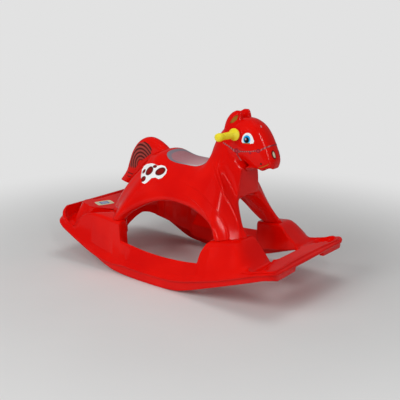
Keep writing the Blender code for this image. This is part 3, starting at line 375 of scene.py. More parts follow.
def label_colour(s, x):
    """A bare label: pale ground, one soft blue field and three plain bars."""
    ahead, left = s.less(x, LABEL[0]), s.less(s.y, LABEL[1])
    turn_sin, turn_cos = math.sin(LABEL_TURN), math.cos(LABEL_TURN)
    u = s.add(s.times(ahead, turn_sin), s.times(left, turn_cos))
    v = s.add(s.times(ahead, -turn_cos), s.times(left, turn_sin))
    colour = s.mix(s.noise(150.0), (196, 196, 160), (216, 214, 184))
    field = s.times(s.step(s.size(u), 0.017, 0.015), s.step(s.size(v), 0.011, 0.009))
    colour = s.mix(field, colour, (96, 128, 176))
    for place in LABEL_BARS:
        bar = s.times(s.step(s.size(s.less(v, place)), 0.0013, 0.0007),
                      s.step(s.size(u), 0.012, 0.01))
        colour = s.mix(bar, colour, (206, 210, 214))
    return colour


def placed(name, data):
    """A new object of the scene."""
    thing = bpy.data.objects.new(name, data)
    bpy.context.scene.collection.objects.link(thing)
    return thing


def dress(node, material):
    """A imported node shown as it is, with its material."""
    thing = nodes[node]
    thing.data.materials.clear()
    thing.data.materials.append(material)


# Horse body: cross stations from the rear legs to the front legs. Each row holds the top (x, z),
# the shoulder, the flank, the outer and the inner lower edge, the knee of the inner side (x, y, z)
# and the belly (x, z). Lower edges without a height stand on the pad of their block.
STATIONS = (
    ((-0.15, 0.352), (-0.15, 0.064, 0.33), (-0.205, 0.098, 0.256), (-0.25, 0.112, None),
     (-0.24, 0.085, None), (-0.192, 0.05, 0.252), (-0.172, 0.276)),
    ((-0.128, 0.37), (-0.125, 0.073, 0.342), (-0.17, 0.117, 0.266), (-0.21, 0.15, None),
     (-0.19, 0.118, None), (-0.16, 0.062, 0.25), (-0.15, 0.268)),
    ((-0.107, 0.379), (-0.103, 0.079, 0.347), (-0.138, 0.137, 0.266), (-0.177, 0.186, None),
     (-0.157, 0.158, None), (-0.132, 0.074, 0.251), (-0.126, 0.266)),
    ((-0.092, 0.381), (-0.086, 0.08, 0.348), (-0.11, 0.134, 0.274), (-0.145, 0.17, 0.195),
     (-0.137, 0.145, 0.191), (-0.114, 0.078, 0.255), (-0.108, 0.266)),
    ((-0.074, 0.377), (-0.068, 0.077, 0.348), (-0.084, 0.125, 0.284), (-0.111, 0.15, 0.215),
     (-0.111, 0.126, 0.211), (-0.093, 0.08, 0.259), (-0.088, 0.267)),
    ((-0.052, 0.367), (-0.046, 0.072, 0.349), (-0.057, 0.117, 0.291), (-0.073, 0.134, 0.235),
     (-0.076, 0.112, 0.231), (-0.064, 0.078, 0.262), (-0.062, 0.268)),
    ((-0.028, 0.359), (-0.025, 0.069, 0.35), (-0.029, 0.112, 0.297), (-0.034, 0.127, 0.2465),
     (-0.035, 0.104, 0.244), (-0.033, 0.075, 0.263), (-0.032, 0.268)),
    ((0.004, 0.357), (0.004, 0.068, 0.35), (0.003, 0.11, 0.299), (0.002, 0.124, 0.2515),
     (0.002, 0.102, 0.25), (0.002, 0.075, 0.263), (0.002, 0.268)),
    ((0.038, 0.358), (0.037, 0.067, 0.35), (0.039, 0.11, 0.299), (0.042, 0.124, 0.25),
     (0.042, 0.1, 0.248), (0.04, 0.072, 0.263), (0.04, 0.268)),
    ((0.07, 0.365), (0.066, 0.066, 0.352), (0.073, 0.112, 0.296), (0.084, 0.126, 0.243),
     (0.082, 0.094, 0.243), (0.078, 0.066, 0.263), (0.076, 0.269)),
    (None, (0.09, 0.068, 0.357), (0.105, 0.115, 0.292), (0.118, 0.132, 0.231),
     (0.115, 0.084, 0.237), (0.108, 0.056, 0.262), (0.108, 0.27)),
    (None, (0.116, 0.07, 0.36), (0.136, 0.118, 0.288), (0.152, 0.141, 0.218),
     (0.147, 0.07, 0.229), (0.136, 0.044, 0.262), (0.136, 0.272)),
    (None, (0.142, 0.071, 0.36), (0.162, 0.117, 0.284), (0.183, 0.149, 0.198),
     (0.176, 0.074, 0.205), (0.158, 0.036, 0.264), (0.16, 0.276)),
    (None, (0.168, 0.067, 0.353), (0.186, 0.106, 0.28), (0.203, 0.155, None),
     (0.206, 0.092, None), (0.178, 0.034, 0.266), (0.186, 0.284)),
    ((0.232, 0.35), (0.2, 0.058, 0.326), (0.214, 0.088, 0.252), (0.258, 0.11, None),
     (0.27, 0.09, None), (0.212, 0.048, 0.268), (0.222, 0.28)),
)
NECK_FIRST = 9
FOOT_STATIONS = ((0, 1, 2), (13, 14))

# Neck and head: rings round the throat, each with crest x, z, throat x, z and half width
HEAD_RINGS = (
    (0.087, 0.4, 0.22, 0.37, 0.06), (0.105, 0.44, 0.212, 0.379, 0.053),
    (0.133, 0.478, 0.211, 0.381, 0.05), (0.17, 0.504, 0.213, 0.38, 0.049),
    (0.208, 0.514, 0.218, 0.377, 0.049), (0.239, 0.508, 0.226, 0.371, 0.048),
    (0.264, 0.492, 0.234, 0.363, 0.046), (0.285, 0.465, 0.243, 0.356, 0.042),
    (0.3, 0.436, 0.256, 0.353, 0.038), (0.309, 0.412, 0.271, 0.358, 0.034),
    (0.312, 0.393, 0.288, 0.366, 0.026),
)
HEAD_SIDE_POWER = 0.8

# Ears: rings of back x, front x, height and half thickness
EAR_RINGS = (
    (0.138, 0.206, 0.474, 0.017), (0.141, 0.204, 0.488, 0.016),
    (0.145, 0.202, 0.5, 0.015), (0.151, 0.201, 0.511, 0.013),
    (0.159, 0.199, 0.521, 0.01), (0.168, 0.197, 0.528, 0.007),
    (0.178, 0.194, 0.533, 0.003),
)
EAR_Y = 0.024
EAR_LEAN = -0.05
EAR_LEVELS, EAR_SIDES = 25, 40

# Tail: rings from the croup, each with outer x, z, inner x, z and half width
TAIL_RINGS = (
    (-0.09, 0.368, -0.1, 0.34, 0.012), (-0.116, 0.388, -0.112, 0.338, 0.016),
    (-0.146, 0.403, -0.126, 0.338, 0.018), (-0.177, 0.409, -0.146, 0.338, 0.019),
    (-0.208, 0.402, -0.165, 0.33, 0.019), (-0.237, 0.382, -0.186, 0.316, 0.018),
    (-0.26, 0.352, -0.206, 0.296, 0.017), (-0.276, 0.316, -0.225, 0.274, 0.016),
    (-0.291, 0.281, -0.246, 0.253, 0.014), (-0.32, 0.246, -0.274, 0.236, 0.01),
)
TAIL_SIDE_POWER = 0.8
TAIL_LEVELS, TAIL_SIDES = 55, 36

# Bosses of the grips: middle (x, z) and rings of reach from the middle and radius
BOSS_X, BOSS_Z = 0.194, 0.468
BOSS_RINGS = ((0.0435, 0.0195), (0.05, 0.0195), (0.051, 0.0188))
BOSS_SIDES = 48

# Pads that the feet stand on: a place in x, the height there and the slope
FRONT_PAD = (0.2, 0.1696, 0.135)
REAR_PAD = (-0.14, 0.1655, -0.12)
FOOT_GAP = 0.0003

# Extra points of a station: share of the width and share of the height between two rows
CROWN_POINTS = ((0.36, 0.06), (0.72, 0.3))
BELLY_POINTS = ((0.35, 0.1), (0.7, 0.42))

# Planes cut on the body, each by a point and an outward normal
CHEST = ((0.2135, 0.0, 0.33), (1.0, 0.0, 0.0))
NECK = ((0.2125, 0.052, 0.36), (0.17, 0.985, 0.04))
CHEEK = ((0.235, 0.044, 0.45), (0.1, 1.0, 0.1))
LEFT_STANDING = 0.06

# Dents pressed across the head: both ends, width, depth and direction
CHIN = ((0.277, -0.02, 0.362), (0.277, 0.02, 0.362), 0.014, 0.019, (-0.1, 0.0, -1.0))
UPPER_LIP = ((0.308, -0.01, 0.382), (0.308, 0.01, 0.382), 0.012, 0.013, (0.1, 0.0, -1.0))
MOUTH = ((0.2985, -0.03, 0.368), (0.2985, 0.03, 0.368), 0.005, 0.008, (-0.1, 0.0, 1.0))
NECK_BACK = ((0.08, -0.03, 0.39), (0.08, 0.03, 0.39), 0.016, 0.011, (0.85, 0.0, -0.5))
# Dent beside the front of the seat, on each side
SHOULDER = ((0.076, 0.064, 0.368), (0.088, 0.044, 0.374), 0.015, 0.007, (0.0, -0.4, -1.0))

FILM_LIFT = 0.0006


def sloping(place, height, slope):
    return lambda x: height + slope * (x - place)


front_pad, rear_pad = sloping(*FRONT_PAD), sloping(*REAR_PAD)


def rest_height(x):
    return (front_pad(x) if x > 0 else rear_pad(x)) + FOOT_GAP


def curve_through(first, middle, last, share):
    """Point at a share of the way along the parabola through three points."""
    return (first * (2 * share - 1) * (share - 1) + Vector(middle) * 4 * share * (1 - share)
            + last * share * (2 * share - 1))


def grounded(point):
    """The point, on its pad where no height is given."""
    x, y, z = point
    return Vector((x, y, rest_height(x) if z is None else z))


def bowed(start, stop, share, drop):
    """A point across the body: `share` of the way in width, `drop` of the way otherwise."""
    point = start.lerp(stop, share)
    point.x = start.x + (stop.x - start.x) * drop
    point.z = start.z + (stop.z - start.z) * drop
    return point


def outer_chain(station):
    """Points of a station from the top over the shoulder and flank to the outer edge."""
    top, shoulder, flank, edge = station[:4]
    shoulder = Vector(shoulder)
    chain = [None, None, None, shoulder]
    if top:
        head = Vector((top[0], 0.0, top[1]))
        chain[:3] = [head] + [bowed(head, shoulder, *shares) for shares in CROWN_POINTS]
    for share in (1 / 3, 2 / 3, 1.0):
        chain.append(curve_through(shoulder, flank, grounded(edge), share))
    return chain


def inner_chain(station):
    """Points of a station from the belly over the knee to the inner edge."""
    edge, knee, belly = station[4:]
    low = grounded(edge)
    knee = Vector(knee)
    centre = Vector((belly[0], 0.0, belly[1]))
    return ([centre] + [bowed(centre, knee, *shares) for shares in BELLY_POINTS]
            + [knee, knee.lerp(low, 0.34), knee.lerp(low, 0.67), low])


def body_cage():
    """Right half of the body as a cage of quads with Y at or below zero."""
    cage = bmesh.new()
    crease = cage.edges.layers.float.new("crease_edge")

    def put(point):
        return cage.verts.new((point.x, -point.y, point.z))

    outer = [[put(p) if p else None for p in outer_chain(s)] for s in STATIONS]
    inner = [[put(p) for p in inner_chain(s)] for s in STATIONS]
    last = len(STATIONS) - 1
    rows = len(inner[0]) - 1
    for u in range(last):
        for v in range(rows):
            if u < NECK_FIRST or v > 2:
                cage.faces.new((outer[u][v], outer[u + 1][v], outer[u + 1][v + 1], outer[u][v + 1]))
            cage.faces.new((inner[u][v], inner[u][v + 1], inner[u + 1][v + 1], inner[u + 1][v]))
        cage.faces.new((outer[u][rows], outer[u + 1][rows], inner[u + 1][rows], inner[u][rows]))
    for u in (0, last):
        for v in range(rows):
            quad = (outer[u][v], outer[u][v + 1], inner[u][v + 1], inner[u][v])
            cage.faces.new(quad if u == 0 else quad[::-1])
    ring = (outer[NECK_FIRST][:4] + [outer[u][3] for u in range(NECK_FIRST + 1, last)]
            + outer[last][3::-1])
    count = len(ring)
    for crest_x, crest_z, throat_x, throat_z, width in HEAD_RINGS:
        following = []
        for j in range(count):
            turn = math.pi * j / (count - 1)
            share = (1 - math.cos(turn)) / 2
            wide = width * abs(math.sin(turn)) ** HEAD_SIDE_POWER if 0 < j < count - 1 else 0.0
            following.append(put(Vector((crest_x + (throat_x - crest_x) * share, wide,
                                         crest_z + (throat_z - crest_z) * share))))
        for j in range(count - 1):
            cage.faces.new((ring[j], ring[j + 1], following[j + 1], following[j]))
        ring = following
    for j in range(count // 2 - 1):
        cage.faces.new((ring[j], ring[j + 1], ring[count - 2 - j], ring[count - 1 - j]))
    for foot in FOOT_STATIONS:
        sole = [outer[u][rows] for u in foot] + [inner[u][rows] for u in foot[::-1]]
        for first, second in zip(sole, sole[1:] + sole[:1]):
            cage.edges.get((first, second))[crease] = 1.0
    bmesh.ops.recalc_face_normals(cage, faces=cage.faces)
    return cage


def as_object(name, shape):
    mesh = bpy.data.meshes.new(name)
    shape.to_mesh(mesh)
    shape.free()
    return placed(name, mesh)


def baked(thing):
    """The object's mesh with its modifiers applied."""
    bpy.context.view_layer.update()
    return bpy.data.meshes.new_from_object(
        thing.evaluated_get(bpy.context.evaluated_depsgraph_get()))


def rounded_body():
    """The cage moved until the rounded surface passes its points, then rounded finely."""
    thing = as_object("cage", body_cage())
    mirror = thing.modifiers.new("mirror", "MIRROR")
    mirror.use_axis = (False, True, False)
    mirror.use_clip = True
    mirror.merge_threshold = 0.0001
    rounding = thing.modifiers.new("rounding", "SUBSURF")
    rounding.levels = 1
    mesh = thing.data
    wanted = [v.co.copy() for v in mesh.vertices]
    for _ in range(4):
        rounded = baked(thing)
        for vertex, goal in zip(mesh.vertices, wanted):
            step = goal - rounded.vertices[vertex.index].co
            if goal.y == 0:
                step.y = 0.0
            vertex.co += step
        bpy.data.meshes.remove(rounded)
    rounding.levels = 3
    fine = baked(thing)
    shape = bmesh.new()
    shape.from_mesh(fine)
    bpy.data.meshes.remove(fine)
    bpy.data.objects.remove(thing, do_unlink=True)
    return shape


def sided(vector, side):
    """The vector as it is (1) or mirrored to the other side (-1)."""
    return Vector((vector[0], vector[1] * side, vector[2]))


def flattened(shape, plane, side, weight):
    """Cuts the surface along a plane and presses what stands out of it almost flat."""
    point, normal = sided(plane[0], side), sided(plane[1], side).normalized()
    faces = [f for f in shape.faces if weight(f.calc_center_median()) > 0]
    geometry = faces + list({e for f in faces for e in f.edges} | {v for f in faces for v in f.verts})
    bmesh.ops.bisect_plane(shape, geom=geometry, dist=1e-6, plane_co=point, plane_no=normal)
    for vertex in shape.verts:
        high = (vertex.co - point).dot(normal)
        if high > 1e-6:
            vertex.co -= normal * high * (1 - LEFT_STANDING) * weight(vertex.co)


def straight_step(value, start, stop):
    """0 before start and 1 after stop, straight between them."""
    return min(max((value - start) / (stop - start), 0.0), 1.0)


def eased_step(value, start, stop):
    """0 before start and 1 after stop, with soft ends."""
    share = straight_step(value, start, stop)
    return share * share * (3 - 2 * share)


def window(value, rise_start, rise_stop, fall_start, fall_stop):
    """1 between two limits and 0 outside them, with soft ends."""
    return eased_step(value, rise_start, rise_stop) * eased_step(value, fall_stop, fall_start)


def calmed(shape, rounds, weight):
    """Evens out small waves of the surface where the weight is above zero."""
    shape.verts.index_update()
    share = [0.5 * weight(v.co) for v in shape.verts]
    around = [[e.other_vert(v).index for e in v.link_edges] if w > 0 else []
              for v, w in zip(shape.verts, share)]
    places = [v.co.copy() for v in shape.verts]
    for _ in range(rounds):
        moved = list(places)
        for i, near in enumerate(around):
            if near:
                middle = sum((places[k] for k in near), Vector()) / len(near)
                moved[i] = places[i].lerp(middle, share[i])
        places = moved
    for vertex, place in zip(shape.verts, places):
        vertex.co = place


def dent(shape, form, side=1):
    """A soft groove along a line, pressed in one direction."""
    start, stop, width, depth, direction = form
    start, stop, direction = (sided(v, side) for v in (start, stop, direction))
    direction.normalize()
    line = stop - start
    for vertex in shape.verts:
        share = min(max((vertex.co - start).dot(line) / line.length_squared, 0.0), 1.0)
        off = (vertex.co - start - line * share).length
        if off < 3 * width:
            vertex.co += direction * depth * math.exp(-(off / width) ** 2)


def between(rows, share):
    """A row of numbers on a smooth curve through the rows."""
    place = share * (len(rows) - 1)
    i = min(int(place), len(rows) - 2)
    t = place - i
    four = [rows[min(max(i + k, 0), len(rows) - 1)] for k in (-1, 0, 1, 2)]
    weights = (-t * (1 - t) ** 2 / 2, (2 - 5 * t * t + 3 * t ** 3) / 2,
               (t + 4 * t * t - 3 * t ** 3) / 2, -t * t * (1 - t) / 2)
    return [sum(w * row[k] for w, row in zip(weights, four)) for k in range(len(rows[0]))]


def through_rings(shape, rows, levels, sides, point):
    """Adds a closed form of rings, each a full turn of points for a row between the rows."""
    rings = []
    for level in range(levels):
        row = between(rows, level / (levels - 1))
        turns = [2 * math.pi * place / sides for place in range(sides)]
        rings.append([shape.verts.new(point(turn, *row)) for turn in turns])
    made = [shape.faces.new(rings[0][::-1]), shape.faces.new(rings[-1])]
    for low, high in zip(rings, rings[1:]):
        for j in range(sides):
            k = (j + 1) % sides
            made.append(shape.faces.new((low[j], low[k], high[k], high[j])))
    bmesh.ops.recalc_face_normals(shape, faces=made)


def ear(shape, side):
    def point(turn, back, front, height, half):
        lean = EAR_Y + EAR_LEAN * (height - EAR_RINGS[0][2])
        x = (back + front) / 2 + (front - back) / 2 * math.cos(turn)
        return x, side * lean + half * math.sin(turn), height

    through_rings(shape, EAR_RINGS, EAR_LEVELS, EAR_SIDES, point)


def tail(shape):
    def point(turn, outer_x, outer_z, inner_x, inner_z, half):
        share = (1 - math.cos(turn)) / 2
        wide = math.copysign(abs(math.sin(turn)) ** TAIL_SIDE_POWER, math.sin(turn))
        return (outer_x + (inner_x - outer_x) * share, wide * half,
                outer_z + (inner_z - outer_z) * share)

    through_rings(shape, TAIL_RINGS, TAIL_LEVELS, TAIL_SIDES, point)


def boss(shape, side):
    def point(turn, y, radius):
        return BOSS_X + radius * math.cos(turn), side * y, BOSS_Z + radius * math.sin(turn)

    through_rings(shape, BOSS_RINGS, len(BOSS_RINGS), BOSS_SIDES, point)


def above_foot(p, start):
    """0 up to a height above the pads, rising to 1 at 30 mm."""
    return eased_step(p.z - rest_height(p.x), start, 0.03)


def ahead_of_crease(p):
    """0 behind the neck's crease and 1 ahead of it, with the crease's own soft width."""
    a, b, c = NECK_CREASE
    return eased_step(p.x - (a + b * p.z + c * p.z ** 2), 0.001, 0.015)


def piece(name, shape, look, sharp=None):
    """A smooth object with its material, its edges sharp above an angle in degrees."""
    thing = as_object(name, shape)
    thing.data.shade_smooth()
    if sharp:
        thing.data.set_sharp_from_angle(angle=math.radians(sharp))
    thing.data.materials.append(look)
    return thing


def fine_body(look):
    """The horse with its flat chest, neck and cheeks, its mouth, ears, tail and bosses."""
    shape = rounded_body()
    calmed(shape, 4, lambda p: above_foot(p, 0.01))
    calmed(shape, 22, lambda p: (above_foot(p, 0.006) * eased_step(p.x, 0.05, 0.11)
                                 * eased_step(p.z, 0.43, 0.385)))
    flattened(shape, CHEST, 1, lambda p: (p.x > 0.19) * window(p.z, 0.258, 0.292, 0.366, 0.378))
    for side in (-1, 1):
        flattened(shape, NECK, side, lambda p: (
            ahead_of_crease(p) * window(p.z, 0.262, 0.3, 0.38, 0.44) * (p.y * side > 0.01)))
        flattened(shape, CHEEK, side,
                  lambda p: p.x > 0.15 and p.z > 0.385 and p.y * side > 0.01)
    calmed(shape, 8, lambda p: (window(p.x, 0.07, 0.1, 0.196, 0.208)
                                * window(p.z, 0.28, 0.31, 0.42, 0.46)))
    for form in (CHIN, UPPER_LIP, MOUTH, NECK_BACK):
        dent(shape, form)
    for side in (-1, 1):
        dent(shape, SHOULDER, side)
        ear(shape, side)
    tail(shape)
    for side in (-1, 1):
        boss(shape, side)
    bmesh.ops.translate(shape, verts=shape.verts, vec=(SHIFT, 0.0, 0.0))
    tree = BVHTree.FromBMesh(shape)
    thing = piece("horse_body_fine", shape, look, 48)
    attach(thing, "root")
    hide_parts("horse_body")
    return tree


def seated(node, tree, look, swell=(1.0, 1.0), shift=0.0):
    """A printed film laid on the fine surface, swelled about its middle and shifted out."""
    shape = bmesh.new()
    shape.from_mesh(nodes[node].data)
    bmesh.ops.remove_doubles(shape, verts=shape.verts, dist=0.00001)
    hidden = [face for face in shape.faces
              if face.normal.dot(tree.find_nearest(face.calc_center_median())[1]) < 0.3]
    bmesh.ops.delete(shape, geom=hidden, context="FACES")
    bmesh.ops.subdivide_edges(shape, edges=shape.edges, cuts=2, use_grid_fill=True)
    middle = sum((v.co for v in shape.verts), Vector()) / len(shape.verts)
    for vertex in shape.verts:
        vertex.co.x = middle.x + (vertex.co.x - middle.x) * swell[0]
        vertex.co.y = middle.y + (vertex.co.y - middle.y) * swell[1]
        vertex.co.y += math.copysign(shift, middle.y)
        place, normal, _, _ = tree.find_nearest(vertex.co)
        vertex.co = place + normal * FILM_LIFT
    thing = piece(node + "_laid", shape, look)
    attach(thing, "root")
    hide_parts(node)


# Base: flat at the balance point. Each rise has its start and slope, the front one first.
BALANCE_X = -0.0045
FLAT_HALF = 0.025
RUNNER_RISES = ((0.108, 0.355), (0.173, 0.425))
CREASE_LOW, CREASE_RISES = 0.053, ((0.085, 0.245), (0.185, 0.37))
BEND = 0.02
RAIL_LOW, RAIL_LOW_X, RAIL_CURVE = 0.0945, 0.03, 0.55
WALL = 0.004
WALL_FIRST_ROW = 6
LIP_INSET = 0.012
LEDGE_INSET = 0.018
LIP_WIDE, LIP_BULGE = 0.206, 0.008
RAIL_INNER = 0.162
REAR_CORNER, FRONT_CORNER = 0.046, 0.03
CORNER_STEPS = 4
REAR_RIM, REAR_CREASE = 0.166, 0.144
FRONT_RIM, FRONT_CREASE, FRONT_FLOOR, FRONT_UNDER = 0.137, 0.133, 0.124, 0.108
FRONT_DECK = (0.05, 0.06)
EASED_PARTS = 4

# Sections from the rear to the front. Rear end: outer y, inner y, floor and underside
REAR_SECTIONS = ((0.0, 0.0, 0.15, 0.143), (0.04, 0.028, 0.15, 0.137),
                 (0.085, 0.052, 0.144, 0.127), (0.125, 0.068, 0.138, 0.119))
LEDGE_X, REAR_LOW_X = -0.372, -0.424
# Rear block: outer x, inner x, inner y, drop beside the ramp and underside
REAR_BLOCK = ((-0.345, -0.208, 0.096, 0.03, 0.099), (-0.318, -0.204, 0.101, 0.014, 0.095),
              (-0.28, -0.198, 0.108, 0.002, 0.09), (-0.235, -0.19, 0.116, 0.0, 0.083),
              (-0.2, -0.182, 0.128, 0.0, 0.073), (-0.17, -0.168, 0.142, 0.0, 0.062),
              (-0.15, -0.15, 0.158, 0.0, 0.05))
RAIL_X = (-0.139, -0.115, -0.085, -0.055, -0.0295, 0.0205, 0.045, 0.072, 0.1, 0.13, 0.152, 0.166)
# Front block: outer x, inner x, inner y, drop below the pad and distance of the shoulder
FRONT_BLOCK = ((0.174, 0.178, 0.1, 0.016, 0.026), (0.184, 0.186, 0.09, 0.001, 0.032),
               (0.206, 0.206, 0.082, 0.0, 0.039), (0.236, 0.24, 0.074, 0.0, 0.046),
               (0.262, 0.276, 0.068, 0.0, 0.05), (0.272, 0.286, 0.068, 0.004, 0.048),
               (0.3, 0.31, 0.068, 0.031, 0.036), (0.328, 0.336, 0.072, 0.06, 0.023))
# Front tray: outer x and inner x on the sides, then outer y, inner y and lift across the end
FRONT_TRAY = ((0.352, 0.346), (0.38, 0.352))
FRONT_SECTIONS = ((0.15, 0.056, 0.0), (0.084, 0.05, 0.0), (0.078, 0.044, 0.013),
                  (0.04, 0.024, 0.013), (0.0, 0.0, 0.013))


def ramp(off):
    """A straight rise that starts at 0 with a soft bend."""
    return BEND * math.log1p(math.exp(off / BEND))


def risen(height, x, rises):
    (front, front_slope), (rear, rear_slope) = rises
    return height + front_slope * ramp(x - front) + rear_slope * ramp(-rear - x)


def runner_bottom(x):
    off = abs(x - BALANCE_X) - FLAT_HALF
    if off <= 0:
        return 0.0
    return risen(min(off * off / 3.2, 0.004) * min(off / 0.03, 1.0), x, RUNNER_RISES)


def lip_gap(x):
    """How far the skirt's lower edge stands above the runner."""
    if x > 0:
        return 0.03 - 0.012 * straight_step(x, 0.1, 0.26)
    return 0.002 + 0.028 * straight_step(x, -0.26, -0.12)


def crease_height(x):
    """The line along the outside on which the blocks and rails start."""
    return risen(CREASE_LOW, x, CREASE_RISES)


def ledge_height(x):
    """The crease, which runs lower beside the rear block."""
    return crease_height(x) - 0.014 * straight_step(x, -0.17, -0.27)


def rail_top(x):
    return RAIL_LOW + RAIL_CURVE * (x - RAIL_LOW_X) ** 2


def inner_bottom(x):
    """Lower edge of the wall towards the opening."""
    front = RAIL_X[-1]
    if x > front:
        return 0.058 + 0.027 * straight_step(x, front, 0.216) + 0.2 * max(x - 0.216, 0)
    return 0.028 + runner_bottom(x)


def lip_half_width(x):
    return LIP_WIDE + LIP_BULGE * (1 - (x / FRONT_END) ** 2)


def ramp_drop(x):
    """1 beside the rear ramp and 0 where the rear foot stands."""
    return straight_step(x, -0.225, -0.265)


# Each of these gives rows of a section: the distance inward from the lip, and the height
def lower_rows(low, lip, crease, inset):
    return [(0.017, low), (0.005, low), (0.005, lip), (0.0, lip), (0.0, lip + 0.004),
            (0.0025, lip + 0.0065), (inset, crease)]


def rail_rows(x, width):
    top, inner = rail_top(x), 0.078 + 0.25 * x * x
    rows = [(0.015, top - 0.006), (0.019, top)]
    for share in (0.2, 0.45, 0.7, 0.9):
        rows.append((0.019 + (width - 0.025) * share, top + (inner - top) * share ** 1.4))
    return rows + [(width - 0.004, inner), (width, inner - 0.005), (width, inner_bottom(x))]


def block_rows(width, place, pad, shoulder_drop, edge, bottom):
    """A foot block: its side up to the shoulder, the flat pad and the inner wall."""
    shoulder = pad(place(edge)) - shoulder_drop
    rows = [(edge - 0.002, shoulder - 0.006), (edge + 0.005, shoulder)]
    for share, part in ((0.12, 0.35), (0.3, 0.0), (0.6, 0.0), (0.85, 0.0)):
        reach = edge + 0.005 + (width - edge - 0.009) * share
        rows.append((reach, pad(place(reach)) - shoulder_drop * part))
    rows.append((width - 0.004, pad(place(width - 0.004))))
    return rows + [(width, pad(place(width)) - 0.005), (width, bottom)]


def rim_rows(width, place, rim, floor, deck, pad, bottom):
    """An end of the base: rim, sunk floor and the deck between two distances."""
    rows = [(0.012, rim - 0.004), (0.015, rim), (0.022, rim), (0.03, floor), (deck[0], floor),
            (deck[1], pad(place(deck[1]))), (width - 0.006, pad(place(width - 0.006)))]
    return rows + [(width, pad(place(width)) - 0.005), (width, bottom)]


def corner(end, radius, first_angle):
    """Points round a corner of the base, from its first angle over a quarter turn."""
    x = end - math.copysign(radius, end)
    centre = Vector((x, radius - lip_half_width(x)))
    for step in range(CORNER_STEPS + 1):
        angle = first_angle + step * math.pi / 2 / CORNER_STEPS
        yield step, centre + radius * Vector((math.cos(angle), math.sin(angle)))


def base_stations():
    """Half of the ring, from the rear centre along the right side to the front centre."""
    stations = []

    def add(outer, inner, low, lip, crease, rows_of, inset=LIP_INSET):
        outer, inner = Vector(outer), Vector(inner)
        width = (inner - outer).length

        def place(reach):
            return outer.x + (inner.x - outer.x) * reach / width

        stations.append((outer, inner, lower_rows(low, lip, crease, inset) + rows_of(width, place)))

    def add_side(x, inner, crease, rows_of, inset=LIP_INSET):
        low = runner_bottom(x)
        add((x, -lip_half_width(x)), inner, low, low + lip_gap(x), crease, rows_of, inset)

    rear_low = runner_bottom(REAR_LOW_X)
    for y, inner_y, floor, bottom in REAR_SECTIONS:
        add((REAR_END, -y), (-0.225, -inner_y), rear_low + 0.006, rear_low + 0.01, REAR_CREASE,
            lambda w, at: rim_rows(w, at, REAR_RIM, floor, (0.072, 0.104), rear_pad, bottom))
    for step, outer in corner(REAR_END, REAR_CORNER, math.pi):
        turn = step / CORNER_STEPS
        low = rear_low + 0.006 * (1 - turn) + (runner_bottom(outer.x) - rear_low) * turn
        rim = REAR_RIM + (ledge_height(outer.x) + 0.006 - REAR_RIM) * turn
        crease = REAR_CREASE + (ledge_height(outer.x) - REAR_CREASE) * turn
        add(outer, (-0.225 + 0.004 * step, -0.076 - 0.004 * step), low, low + 0.004,
            min(crease, rim - 0.006),
            lambda w, at: rim_rows(w, at, rim, min(0.132 - 0.01 * turn, rim - 0.006),
                                   (0.05, 0.088), rear_pad, 0.113 - 0.003 * step))
    x, low, ledge = LEDGE_X, runner_bottom(LEDGE_X), ledge_height(LEDGE_X)
    add((x, -lip_half_width(x)), (-0.2085, -0.094), low, low + 0.003, ledge,
        lambda w, at: rim_rows(w, at, ledge + 0.006, ledge + 0.001, (0.044, 0.072), rear_pad, 0.1))
    for x, inner_x, inner_y, drop, bottom in REAR_BLOCK:
        inset = LIP_INSET + (LEDGE_INSET - LIP_INSET) * (1.0 if x < -0.18 else 0.5 * (x < -0.16))
        add_side(x, (inner_x, -inner_y), ledge_height(x),
                 lambda w, at: block_rows(w, at, lambda spot: rear_pad(spot) - drop * ramp_drop(spot),
                                          0.002, 0.022 + (inset - LIP_INSET) * 0.4, bottom), inset)
    for x in RAIL_X:
        inner_y = RAIL_INNER if x < RAIL_X[-1] else RAIL_INNER - 0.012
        add_side(x, (x, -inner_y), crease_height(x), lambda w, at: rail_rows(x, w))
    for x, inner_x, inner_y, drop, edge in FRONT_BLOCK:
        add_side(x, (inner_x, -inner_y), crease_height(x),
                 lambda w, at: block_rows(w, at, lambda spot: front_pad(spot) - drop, 0.009, edge,
                                          inner_bottom(inner_x)))
    for x, inner_x in FRONT_TRAY:
        crease = crease_height(x)
        add_side(x, (inner_x, -0.07), crease,
                 lambda w, at: rim_rows(w, at, crease + 0.003, FRONT_FLOOR - 0.01, FRONT_DECK,
                                        lambda spot: FRONT_FLOOR - 0.008, FRONT_UNDER))

    def front_rows(width, place):
        return rim_rows(width, place, FRONT_RIM, FRONT_FLOOR, FRONT_DECK,
                        lambda spot: FRONT_FLOOR, FRONT_UNDER)

    front_low = runner_bottom(FRONT_END) - 0.012
    for step, outer in corner(FRONT_END, FRONT_CORNER, -math.pi / 2):
        low = runner_bottom(outer.x) + (front_low - runner_bottom(outer.x)) * step / CORNER_STEPS
        add(outer, (0.352 + 0.001 * step, -0.068 + 0.002 * step), low, low + 0.016,
            min(crease_height(outer.x), FRONT_CREASE), front_rows)
    for y, inner_y, lift in FRONT_SECTIONS:
        add((FRONT_END, -y), (0.357, -inner_y), front_low + lift,
            max(front_low + 0.016, front_low + lift + 0.003), FRONT_CREASE, front_rows)
    return stations


